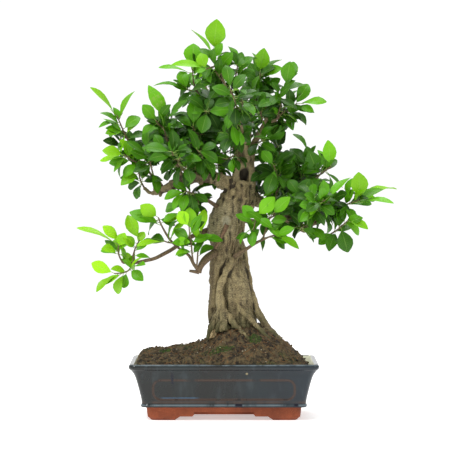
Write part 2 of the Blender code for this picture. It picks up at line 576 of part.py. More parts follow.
def foot_cutters():
    """Return the blocks that leave four corner feet under the tray."""
    foot_x = TRAY_OUTSIDE[0][0]
    foot_y = foot_x - (RIM_HALF_X - RIM_HALF_Y)
    cutters = [block((2 * (foot_x - FOOT_WALL), 2 * (foot_y - FOOT_WALL), SLOT_DEPTH),
                     (0, 0, SEAT_Z + SEAT_STEP - SLOT_DEPTH / 2))]
    upright = Matrix.Rotation(math.radians(90), 4, "X")
    for turn, gap, flat, notch in FOOT_GAPS:
        wall = foot_x if turn in (90, 270) else foot_y
        around = Matrix.Rotation(math.radians(turn), 4, "Z")
        slot = plate(foot_outline(gap, flat, notch, SEAT_Z), SLOT_LENGTH)
        place = Matrix.Translation((0, -(wall - SLOT_DEPTH + SLOT_LENGTH / 2), 0))
        bmesh.ops.transform(slot, verts=slot.verts, matrix=around @ place @ upright)
        cutters.append(slot)
        skirt = block((2 * notch - SKIRT_LESS, SLOT_LENGTH, SKIRT_HEIGHT),
                      (0, -(wall - SKIRT_DEPTH + SLOT_LENGTH / 2), SKIRT_Z))
        bmesh.ops.transform(skirt, verts=skirt.verts, matrix=around)
        cutters.append(skirt)
    return cutters


def drain_cutters():
    """Return a round bar for each drain hole."""
    cutters = []
    for side in (-1, 1):
        drain = bmesh.new()
        bmesh.ops.create_cone(drain, cap_ends=True, segments=16, radius1=DRAIN_R, radius2=DRAIN_R,
                              depth=4 * FLOOR_Z, matrix=Matrix.Translation((side * DRAIN_X, 0, FLOOR_Z)))
        cutters.append(drain)
    return cutters


def build_drain_mesh(name, x, material):
    """Build the plastic net that keeps the soil out of a drain hole."""
    net = block((2 * NET_HALF, 2 * NET_HALF, NET_THICK), (x, 0, FLOOR_Z + GAP + NET_THICK / 2))
    piece = add_mesh(name, net, PARTS, material)
    holes = []
    for column in (-1, 0, 1):
        for row in (-1, 0, 1):
            side = NET_CELL - NET_BAR
            hole = block((side, side, 8 * NET_THICK), (x + column * NET_CELL, row * NET_CELL, FLOOR_Z))
            holes.append(hole)
    cut(piece, add_mesh(name + "_holes", joined(holes), CUTTERS))
    settle(piece)
    return piece


# ------------------------------------------------------------------------- soil and moss
def ridge_height(x):
    """Return the height of the soil's ridge at x."""
    if x <= SOIL_RIDGE[0][0]:
        return float(SOIL_RIDGE[0][1])
    for (x0, z0), (x1, z1) in zip(SOIL_RIDGE, SOIL_RIDGE[1:]):
        if x <= x1:
            return z0 + (z1 - z0) * (x - x0) / (x1 - x0)
    return float(SOIL_RIDGE[-1][1])


def soil_height(x, y):
    """Return the height of the mound: its ridge, falling to the rim at front and back."""
    edge = 66.0
    across = min(1.0, abs(y) / 83.0)
    hump = (ridge_height(x) - edge) * (1.0 - across ** 1.7)
    return edge + hump + 0.9 * math.sin(x * 0.19 + y * 0.11) * math.cos(y * 0.17 - x * 0.05)


def build_soil(material):
    """Build the soil that fills the tray and rises to the trunk."""
    depth_less = RIM_HALF_X - RIM_HALF_Y
    top_x = LIP_HALF_X - 1.4
    floor_x = FLOOR_HALF_X - GAP
    corner = CORNER_R + 1.0
    bm = bmesh.new()
    bmesh.ops.create_grid(bm, x_segments=18, y_segments=12, size=1.0)
    for point in bm.verts:
        x = point.co.x * top_x
        y = point.co.y * (top_x - depth_less)
        over = Vector((max(0.0, abs(x) - (top_x - corner)),
                       max(0.0, abs(y) - (top_x - depth_less - corner))))
        if over.length > corner:
            over *= corner / over.length
            x = math.copysign(top_x - corner + over.x, x)
            y = math.copysign(top_x - depth_less - corner + over.y, y)
        point.co = (x, y, 0.0)
    top = list(bm.verts)
    made = bmesh.ops.extrude_face_region(bm, geom=bm.faces[:])
    base = [item for item in made["geom"] if isinstance(item, bmesh.types.BMVert)]
    shrink = Vector((floor_x / top_x, (floor_x - depth_less) / (top_x - depth_less)))
    for point in base:
        point.co = (point.co.x * shrink.x, point.co.y * shrink.y, FLOOR_Z + 2 * GAP + 1.3)
    for point in top:
        point.co.z = soil_height(point.co.x, point.co.y)
    bmesh.ops.recalc_face_normals(bm, faces=bm.faces)
    bmesh.ops.dissolve_limit(bm, angle_limit=math.radians(2), verts=base, edges=bm.edges)
    bmesh.ops.triangulate(bm, faces=bm.faces)
    return add_mesh("soil", bm, PARTS, material)


def build_moss(name, x, y, size_x, size_y, ground, obstacles, material):
    """Build a low cushion of moss that follows the ground under it, clear of the wood."""
    bm = bmesh.new()
    bmesh.ops.create_icosphere(bm, subdivisions=2, radius=1.0)
    for point in bm.verts:
        px, py, pz = point.co
        wobble = 1.0 + 0.16 * math.sin(3 * math.atan2(py, px) + x)
        place = Vector((x + px * size_x * wobble, y + py * size_y * wobble, 300.0))
        floor = ground.ray_cast(place, Vector((0, 0, -1)))[0]
        lift = 1.5 + (2.2 * pz if pz > 0 else 0.3 * pz)
        point.co = (place.x, place.y, floor.z + lift)
    bmesh.ops.recalc_face_normals(bm, faces=bm.faces)
    if bm.calc_volume(signed=True) < 0:
        bmesh.ops.reverse_faces(bm, faces=bm.faces)
    piece = add_mesh(name, bm, PARTS, material)
    for obstacle in obstacles:
        cut(piece, obstacle)
    settle(piece)
    keep_largest(piece)
    return piece


# ---------------------------------------------------------------------------------- wood
def wood_block(name, routes, grow, voxel, keep, collection, material=None):
    """Fuse several tubes into one closed body of wood, thinned to a share of its faces."""
    body = joined([tube(smooth_route(route, 3), 10, grow) for route in routes])
    made = add_mesh(name, body, collection, material)
    fuse = made.modifiers.new("fuse", "REMESH")
    fuse.mode = "VOXEL"
    fuse.voxel_size = voxel
    soften = made.modifiers.new("soften", "SMOOTH")
    soften.factor = 0.5
    soften.iterations = 2
    thin = made.modifiers.new("thin", "DECIMATE")
    thin.ratio = keep
    settle(made)
    return made


def union_of_tubes(name, routes, collection, material=None, sides=6, grow=0.0, pieces=2):
    """Join tubes that run into one another into one closed body."""
    shapes = [tube(smooth_route(route, pieces), sides, grow) for route in routes]
    made = add_mesh(name, shapes[0], collection, material)
    if len(shapes) > 1:
        rest = add_mesh(name + "_rest", joined(shapes[1:]), CUTTERS)
        cut(made, rest, "UNION", use_self=True)
        settle(made)
    return made


# --------------------------------------------------------------------------------- leaves
def leaf_solid(base, angle, length, width, turn, lean):
    """Return a leaf as a flat six-sided pyramid whose stalk end is at base.

    The blade points along the angle in the front view and leans towards the front; its face
    is turned about its own length, with the upper side kept towards the light.
    """
    a, s = math.radians(angle), math.radians(lean)
    along = Vector((math.cos(a) * math.cos(s), -math.sin(s), math.sin(a) * math.cos(s)))
    face = Vector((0, -1, 0))
    face = (face - along * face.dot(along)).normalized()
    choices = [Matrix.Rotation(math.radians(sign * turn), 3, along) @ face for sign in (1, -1)]
    outward = Vector((math.cos(a) * 0.3, 0, 1))
    face = max(choices, key=lambda normal: normal.dot(outward))
    across = face.cross(along)
    frame = Matrix((along, across, face)).transposed().to_4x4()
    frame.translation = base
    bm = bmesh.new()
    bmesh.ops.create_cone(bm, cap_ends=True, segments=6, radius1=1.0, radius2=0.0, depth=1.0)
    for point in bm.verts:
        y, x, z = point.co
        if z > 0:
            point.co = (0.45 * length, 0.0, LEAF_LIFT)
        elif abs(y) < 0.1:
            point.co = (length if x > 0 else -0.6, 0.0, 0.0)
        else:
            reach = 0.76 if x > 0 else 0.42
            half = 0.36 if x > 0 else 0.5
            point.co = (reach * length, math.copysign(half * width, y), 0.0)
    bmesh.ops.recalc_face_normals(bm, faces=bm.faces)
    bmesh.ops.transform(bm, matrix=frame, verts=bm.verts)
    return bm


class Space:
    """The solids placed so far, asked whether a new one would touch them."""

    def __init__(self):
        self.items = []

    def add(self, bm, owner, kind):
        """Remember a solid as the wood, a leaf or only the outer blade of its owner."""
        self.items.append((BVHTree.FromBMesh(bm), *box_of(bm), owner, kind))

    def touches(self, bm, owner, kinds, own):
        """Name what a solid touches, among its own spray's pieces or among the others'."""
        tree = BVHTree.FromBMesh(bm)
        low, high = box_of(bm)
        for other, other_low, other_high, other_owner, kind in self.items:
            if kind not in kinds or (other_owner == owner) != own:
                continue
            if any(high[i] < other_low[i] or other_high[i] < low[i] for i in range(3)):
                continue
            if tree.overlap(other):
                return other_owner
        return None


def box_of(bm):
    """Return the lowest and highest corner of a bmesh."""
    points = [corner.co for corner in bm.verts]
    low = Vector([min(point[i] for point in points) for i in range(3)])
    high = Vector([max(point[i] for point in points) for i in range(3)])
    return low, high


def grown(solid):
    """Return a copy of a small solid with a clearance added all round."""
    copy = solid.copy()
    middle = sum((corner.co for corner in copy.verts), Vector()) / len(copy.verts)
    for corner in copy.verts:
        corner.co += (corner.co - middle).normalized() * 2 * GAP
    copy.normal_update()
    for corner in copy.verts:
        corner.co += corner.normal * GAP
    return copy


def point_along(line, from_end):
    """Return the point of a line that lies a distance back from its end."""
    for second, first in zip(reversed(line), reversed(line[:-1])):
        here, back = Vector(second[:3]), Vector(first[:3])
        span = (here - back).length
        if from_end <= span:
            return here.lerp(back, from_end / span)
        from_end -= span
    return Vector(line[0][:3])


def line_length(line):
    """Return the length of a line of points."""
    return sum((Vector(b[:3]) - Vector(a[:3])).length for a, b in zip(line, line[1:]))


def shoot_leaves(name, number, line, listed, extra):
    """Yield each leaf of a shoot as its base point and its (angle, length, width, turn, lean)."""
    rng = random.Random("%s %d" % (name, number))
    total = line_length(line)
    step = min(NODE_STEP, 0.85 * total / max(1, len(listed)))
    for order, (angle, length, width, turn) in enumerate(listed):
        lean = 24.0 * math.sin(2.3 * order + number + len(name))
        yield point_along(line, 0.4 + step * order), (angle, length, width, turn, lean)
    for _ in range(extra):
        base = point_along(line, total * rng.uniform(0.02, 0.8))
        length = rng.uniform(24, 32)
        yield base, (rng.uniform(0, 360), length, length * rng.uniform(0.5, 0.62),
                     rng.uniform(0, 60), rng.uniform(-60, 60))


def trimmed_start(line, limbs):
    """Drop the first part of a line that runs inside, or too near to, another piece of wood."""
    for first in range(len(line) - 2):
        start = Vector(line[first][:3])
        room = line[first][3] + GAP + 0.2
        clear = True
        for limb in limbs:
            nearest, normal, _, distance = limb.find_nearest(start)
            if distance < room or (start - nearest).dot(normal) < 0:
                clear = False
        if clear:
            return line[first:]
    raise ValueError("a twig never leaves its limb")


def nearest_on(lines, point):
    """Return the point nearest to another on a list of lines."""
    place = Vector(point[:3])
    best = None
    for line in lines:
        for a, b in zip(line, line[1:]):
            start, end = Vector(a[:3]), Vector(b[:3])
            along = end - start
            part = max(0.0, min(1.0, (place - start).dot(along) / along.length_squared))
            foot = start + along * part
            if best is None or (foot - place).length < (best - place).length:
                best = foot
    return best


def spray_lines(stems, shoots, limbs):
    """Return the centrelines of a spray: its stems, then one for each shoot."""
    routes = [deepened(stem) for stem in stems]
    for route, _, _ in shoots:
        last = len(route) - 1
        routes.append([(x, y, z, TWIG_R + (TIP_R - TWIG_R) * k / last)
                       for k, (x, y, z) in enumerate(deepened(route))])
    lines = []
    for route in routes:
        if lines:
            foot = nearest_on(lines, route[0])
            route[0] = (*foot, route[0][3])
        if lines:
            lines.append(smooth_route(route, 2))
        else:
            stem = trimmed_start(smooth_route(route, 6), limbs)
            lines.append([stem[0], *stem[2:-1:3], stem[-1]])
    return lines


def spray_tubes(lines):
    """Return a tube for each centreline, with four sides where it is thin."""
    return [tube(line, 6 if line[0][3] > 1.6 else 4) for line in lines]


def grow_leaves(name, lines, shoots, space):
    """Return the leaves of a spray that find room, turned aside where they must be."""
    leaves = []
    for number, (line, (_, listed, extra)) in enumerate(zip(lines[-len(shoots):], shoots)):
        for base, (angle, length, width, turn, lean) in shoot_leaves(name, number, line, listed, extra):
            for nudge in LEAN_NUDGES:
                leaf = leaf_solid(base, angle, length, width, turn, lean + nudge)
                roomy = grown(leaf)
                outer = outer_blade(leaf, base)
                blocked = (space.touches(roomy, name, ("wood", "leaf"), own=False)
                           or space.touches(outer, name, ("wood", "outer"), own=True))
                if not blocked:
                    space.add(leaf, name, "leaf")
                    space.add(outer, name, "outer")
                    leaves.append(leaf)
                roomy.free()
                outer.free()
                if not blocked:
                    break
                leaf.free()
    return leaves


def outer_blade(leaf, base):
    """Return a copy of a leaf drawn in from its stalk, so that neighbours may share a node."""
    copy = leaf.copy()
    middle = sum((corner.co for corner in copy.verts), Vector()) / len(copy.verts)
    for corner in copy.verts:
        if (corner.co - base).length < 2.0:
            corner.co = corner.co.lerp(middle, 0.35)
    return copy


def build_spray(name, lines, leaves, material):
    """Fuse the wood and the leaves of a spray into one piece."""
    tubes = spray_tubes(lines)
    piece = add_mesh(name, tubes[0], PARTS, material)
    if len(tubes) > 1:
        cut(piece, add_mesh(name + "_twigs", joined(tubes[1:]), CUTTERS), "UNION", use_self=True)
        settle(piece)
    cut(piece, add_mesh(name + "_leaves", joined(leaves), CUTTERS), "UNION", use_self=True)
    settle(piece)
    keep_largest(piece)
    return piece


def keep_largest(thing):
    """Delete every loose bit of a piece but the largest."""
    bm = bmesh.new()
    bm.from_mesh(thing.data)
    left = set(bm.verts)
    bodies = []
    while left:
        body = {left.pop()}
        front = list(body)
        while front:
            point = front.pop()
            for edge in point.link_edges:
                other = edge.other_vert(point)
                if other in left:
                    left.discard(other)
                    body.add(other)
                    front.append(other)
        bodies.append(body)
    bodies.sort(key=len)
    for body in bodies[:-1]:
        bmesh.ops.delete(bm, geom=list(body), context="VERTS")
    bm.to_mesh(thing.data)
    bm.free()


def main():
    """Build every piece of the bonsai."""
    finish = {name: make_material(name) for name in MATERIALS}
    build_pot(finish["glaze"])
    build_drain_mesh("drain_mesh_left", -DRAIN_X, finish["plastic"])
    build_drain_mesh("drain_mesh_right", DRAIN_X, finish["plastic"])

    trunk = wood_block("trunk", TRUNK.values(), 0.0, TRUNK_VOXEL, TRUNK_KEEP, PARTS, finish["bark"])
    trunk_room = wood_block("trunk_room", TRUNK.values(), WOOD_ROOM, TRUNK_VOXEL, 0.3, CUTTERS)
    aerial_root = union_of_tubes("aerial_root", [AERIAL_ROOT], PARTS, finish["bark"], sides=8)
    root_room = union_of_tubes("aerial_root_room", [AERIAL_ROOT], CUTTERS, sides=8, grow=2 * GAP)
    cut(aerial_root, trunk_room)
    settle(aerial_root)
    keep_largest(aerial_root)
    limbs = []
    for name, routes in LIMBS.items():
        limb = union_of_tubes(name, [deepened(route) for route in routes], PARTS, finish["bark"])
        cut(limb, trunk_room)
        cut(limb, trunk)
        settle(limb)
        keep_largest(limb)
        limbs.append(limb)

    soil = build_soil(finish["soil"])
    cut(soil, trunk_room)
    cut(soil, trunk)
    cut(soil, root_room)
    settle(soil)
    keep_largest(soil)
    ground = tree_of(soil.data)
    for name, place in MOSS.items():
        build_moss(name, *place, ground, [soil, trunk_room, root_room], finish["moss"])

    space = Space()
    for thing in [trunk, aerial_root, soil, *limbs]:
        solid = bmesh.new()
        solid.from_mesh(thing.data)
        space.add(solid, thing.name, "wood")
        solid.free()
    wood = [tree_of(thing.data) for thing in [trunk, *limbs]]
    lines = {}
    for name, (stems, shoots) in SPRAYS.items():
        lines[name] = spray_lines(stems, shoots, wood)
        for twig in spray_tubes(lines[name]):
            space.add(twig, name, "wood")
            twig.free()
    for name, (_, shoots) in SPRAYS.items():
        leaves = grow_leaves(name, lines[name], shoots, space)
        build_spray(name, lines[name], leaves, finish["leaf"])


clear_scene()
PARTS = make_collection("bonsai_tree_in_a_pot")
CUTTERS = make_collection("cutters")
STAND = bpy.data.objects.new("stand", None)
PARTS.objects.link(STAND)
STAND.location = (STAND_X * MM, STAND_Y * MM, -TABLE_Z * MM)
STAND.scale = (MM, MM, MM)
main()
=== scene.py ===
"""The looks of a fig bonsai: bark, leaves, soil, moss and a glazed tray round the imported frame.

Routes and sizes are written in millimetres in the pot's own drawing, with its middle at
x = y = 0, the table at z = TABLE_Z and the front of the tree towards -Y.  Finished meshes are
scaled to metres and set down round the middle of the frame's pot.
"""
import logging
import math
import random
from dataclasses import dataclass, field
from enum import Enum
from typing import Any, Iterable, Iterator, Sequence

import bmesh
import bpy
from mathutils import Matrix, Vector, noise
from mathutils.bvhtree import BVHTree


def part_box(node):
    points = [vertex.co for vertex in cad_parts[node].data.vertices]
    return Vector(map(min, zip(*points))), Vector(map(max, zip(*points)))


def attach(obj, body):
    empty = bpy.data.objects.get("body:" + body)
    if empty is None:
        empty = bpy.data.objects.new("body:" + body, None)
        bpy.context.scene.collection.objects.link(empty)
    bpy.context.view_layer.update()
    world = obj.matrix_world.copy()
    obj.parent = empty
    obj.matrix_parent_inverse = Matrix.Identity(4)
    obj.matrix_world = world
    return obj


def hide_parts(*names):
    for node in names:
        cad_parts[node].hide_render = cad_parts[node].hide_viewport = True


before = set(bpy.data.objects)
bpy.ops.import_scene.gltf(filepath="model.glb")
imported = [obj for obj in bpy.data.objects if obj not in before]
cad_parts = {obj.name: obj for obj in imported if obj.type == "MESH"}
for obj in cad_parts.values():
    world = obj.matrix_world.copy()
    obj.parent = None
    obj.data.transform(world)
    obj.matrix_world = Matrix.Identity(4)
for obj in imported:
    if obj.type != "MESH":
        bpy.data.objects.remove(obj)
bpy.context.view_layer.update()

LOG = logging.getLogger("bonsai")
Line = Sequence[Sequence[float]]
Finishes = dict[str, bpy.types.Material]
MM = 0.001
TABLE_Z = -4.0             # height of the table in the drawing
POT_LOW, POT_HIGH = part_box("pot")
STAND = Vector(((POT_LOW[0] + POT_HIGH[0]) / 2, (POT_LOW[1] + POT_HIGH[1]) / 2, -TABLE_Z * MM))

# ------------------------------------------------------------------ the tree's own dimensions
RIM_HALF_X = 125.0         # the tray is 250 mm wide and 184 mm deep over its rim
RIM_HALF_Y = 92.0
SIDE_LESS = RIM_HALF_X - RIM_HALF_Y
CORNER_R = 9.0
FLOOR_Z = 10.0             # inside floor of the tray
SEAT_Z = 3.0               # underside of the tray between its feet
LIP_Z = 67.5               # where the inner wall meets the rounded lip
FLOOR_HALF_X = 98.0
LIP_HALF_X = 116.5
DRAIN_X = 50.0
DRAIN_R = 7.0
PANEL_DEPTH = 1.3
PANEL_MIDDLE_Z = 37.0
PANEL_HALF_Z = 13.0
PANEL_R = 10.0
PANEL_HALF_X = 93.0
PANEL_HALF_Y = 60.0
CLAY_TOP_Z = 13.5          # bare clay shows below this height
# The gaps between the feet: side's turn, half width at the table, under the arch and of its middle.
FOOT_GAPS = [(0, 65.0, 58.0, 40.0), (90, 38.0, 31.0, 20.0),
             (180, 65.0, 58.0, 40.0), (270, 38.0, 31.0, 20.0)]
TRUNK_X = 17.0             # middle of the trunk
CROWN_DEPTH = 1.45         # how much deeper the crown grows than its routes are listed
TWIG_R = 1.25              # a shoot's radius where it starts, and at its tip
TIP_R = 0.8
NODE_STEP = 5.5            # distance between leaves along a shoot

# The outside of the tray as (half width, height), from the foot to the top of the rim.
TRAY_OUTSIDE = [
    (96.0, -4.0), (100.8, 0.5), (102.4, 13.2), (108.8, 13.8), (109.8, 16.0), (108.4, 18.4),
    (109.2, 25.0), (111.5, 35.0), (114.0, 45.0), (117.3, 55.5), (121.3, 62.0), (124.4, 65.0),
    (125.0, 67.8), (124.0, 70.4), (121.6, 71.2),
]
TRAY_INSIDE = [(118.6, 70.6), (LIP_HALF_X, LIP_Z), (FLOOR_HALF_X, FLOOR_Z)]

SOIL_RIDGE = [
    (-116, 70), (-108, 80), (-95, 86), (-75, 88), (-57, 91), (-40, 92), (-24, 99),
    (-8, 112), (15, 122), (40, 122), (52, 118), (63, 110), (80, 97), (95, 84), (108, 75), (116, 68),
]
TRUNK = {
    "main_root": [(23, 0, 80, 31), (21, 0, 108, 24), (19, 0, 136, 21.5), (17, 0, 163, 20),
                  (13, 0, 187, 18), (7, 0, 211, 18), (3, 0, 234, 23.5), (4, 0, 255, 25),
                  (11, 0, 277, 21), (22, 0, 295, 19), (26, 0, 310, 14)],
    "left_root": [(0, -4, 224, 17), (-4, -6, 211, 14), (-9, -8, 196, 11), (-12, -8, 180, 8),
                  (-13, -8, 163, 6), (-14, -6, 149, 6.5), (-16, -4, 137, 5.5), (-15, -4, 120, 6)],
    "crossing_root": [(22, -14, 218, 4.5), (8, -18, 198, 4.5), (-1, -20, 183, 4.3),
                      (-5, -22, 168, 4.3), (-5, -23, 150, 5.4), (-3, -24, 131, 7), (-1, -24, 112, 9)],
    "cut_root": [(-13, -12, 124, 4), (-14, -13, 117, 6.5), (-14, -13, 98, 8)],
    "hollow_right": [(34, -4, 298, 7), (37, -6, 315, 5), (37, -4, 326, 5), (33, 0, 333, 7)],
    "hollow_left": [(14, -6, 302, 7), (16, -6, 317, 4.5), (20, -4, 328, 4.5), (30, 0, 333, 7)],
    "hollow_back": [(25, 12, 304, 13), (27, 12, 320, 11), (31, 4, 333, 8)],
    "healed_scar": [(3, -18, 258, 9), (3, -25, 258, 7)],
    "toe_middle": [(0, -24, 141, 4), (11, -32, 125, 3.4), (23, -38, 113, 3), (34, -44, 100, 2.8)],
    "toe_right": [(20, -20, 143, 3.5), (33, -27, 129, 3.2), (46, -31, 116, 3), (60, -34, 100, 2.8)],
    "toe_left": [(-7, -24, 139, 3.4), (-16, -28, 122, 3), (-22, -30, 100, 2.8)],
}
AERIAL_ROOT = [(24, 4, 229, 3.4), (27, 4, 217, 3.3), (30, 2, 200, 2.7), (35, 0, 181, 2.4),
               (39, -2, 162, 2.7), (43, -4, 145, 3.5), (48, -6, 131, 4.3), (55, -8, 119, 4.9),
               (66, -8, 106, 5.1), (82, -6, 88, 4.6)]
LIMBS = {
    "left_limb": [
        [(12, 0, 303, 11), (-4, -4, 311, 9.5), (-22, -8, 316, 7.7), (-38, -10, 316, 7.3),
         (-54, -10, 312, 7.6), (-69, -8, 305, 7), (-83, -4, 299, 4.6), (-96, 0, 294, 3),
         (-107, 2, 302, 2)],
        [(-20, -8, 317, 4.9), (-24, -6, 335, 3.8), (-28, -4, 354, 3), (-38, -4, 373, 2)],
        [(-54, -10, 312, 3.8), (-62, -14, 330, 3), (-70, -16, 352, 2.4), (-80, -16, 375, 1.7)],
        [(-80, -4, 300, 2.8), (-94, 0, 316, 2.2), (-111, 4, 335, 1.8), (-124, 4, 357, 1.5)],
        [(-35, -9, 316, 4.1), (-48, 24, 332, 3), (-63, 50, 353, 2.2)],
        [(-43, -12, 314, 3.5), (-54, -36, 327, 2.7), (-62, -52, 338, 1.8)],
    ],
    "right_limb": [
        [(31, 2, 290, 9.5), (52, 8, 281, 7.5), (70, 12, 269, 6.5), (87, 12, 258, 6.2),
         (103, 8, 249, 6), (117, 4, 243, 5), (129, 0, 237, 3.8), (140, -2, 238, 2.5)],
        [(84, 12, 260, 3.5), (93, 10, 277, 2.7), (104, 6, 295, 2.2), (117, 2, 313, 1.6)],
        [(110, 6, 246, 3.3), (125, 2, 257, 2.6), (144, 0, 270, 2)],
        [(57, 8, 278, 3.3), (64, 2, 295, 2.4), (71, -4, 314, 1.8)],
        [(75, 12, 265, 3.5), (87, 42, 280, 2.8), (102, 66, 297, 2)],
        [(94, 10, 253, 3), (104, -20, 265, 2.4), (118, -44, 278, 1.8)],
    ],
    "crown_limbs": [
        [(34, 0, 338, 7), (40, -4, 360, 4.6), (47, -8, 374, 4.2), (54, -12, 386, 3.7),
         (59, -16, 398, 3), (66, -22, 412, 2)],
        [(54, -12, 386, 2.7), (70, -15, 393, 2)],
        [(33, 4, 338, 6), (33, 10, 368, 3.8), (37, 16, 393, 3), (41, 22, 416, 2.5), (46, 26, 441, 1.7)],
        [(30, -2, 336, 6), (25, -8, 366, 3.5), (17, -12, 395, 2.8), (7, -14, 424, 2.2),
         (-3, -14, 450, 1.6)],
        [(27, 2, 334, 6), (12, 6, 360, 3.5), (-3, 8, 382, 2.9), (-17, 8, 402, 2.3), (-30, 6, 421, 1.7)],
        [(31, 8, 338, 6), (32, 28, 365, 3.8), (36, 48, 390, 3), (42, 62, 415, 2.1)],
        [(28, 8, 336, 6), (17, 34, 366, 3.4), (3, 58, 391, 2.6), (-11, 76, 413, 1.8)],
        [(31, -4, 338, 5), (28, -24, 358, 3), (24, -46, 378, 2.3), (19, -64, 399, 1.7)],
    ],
}
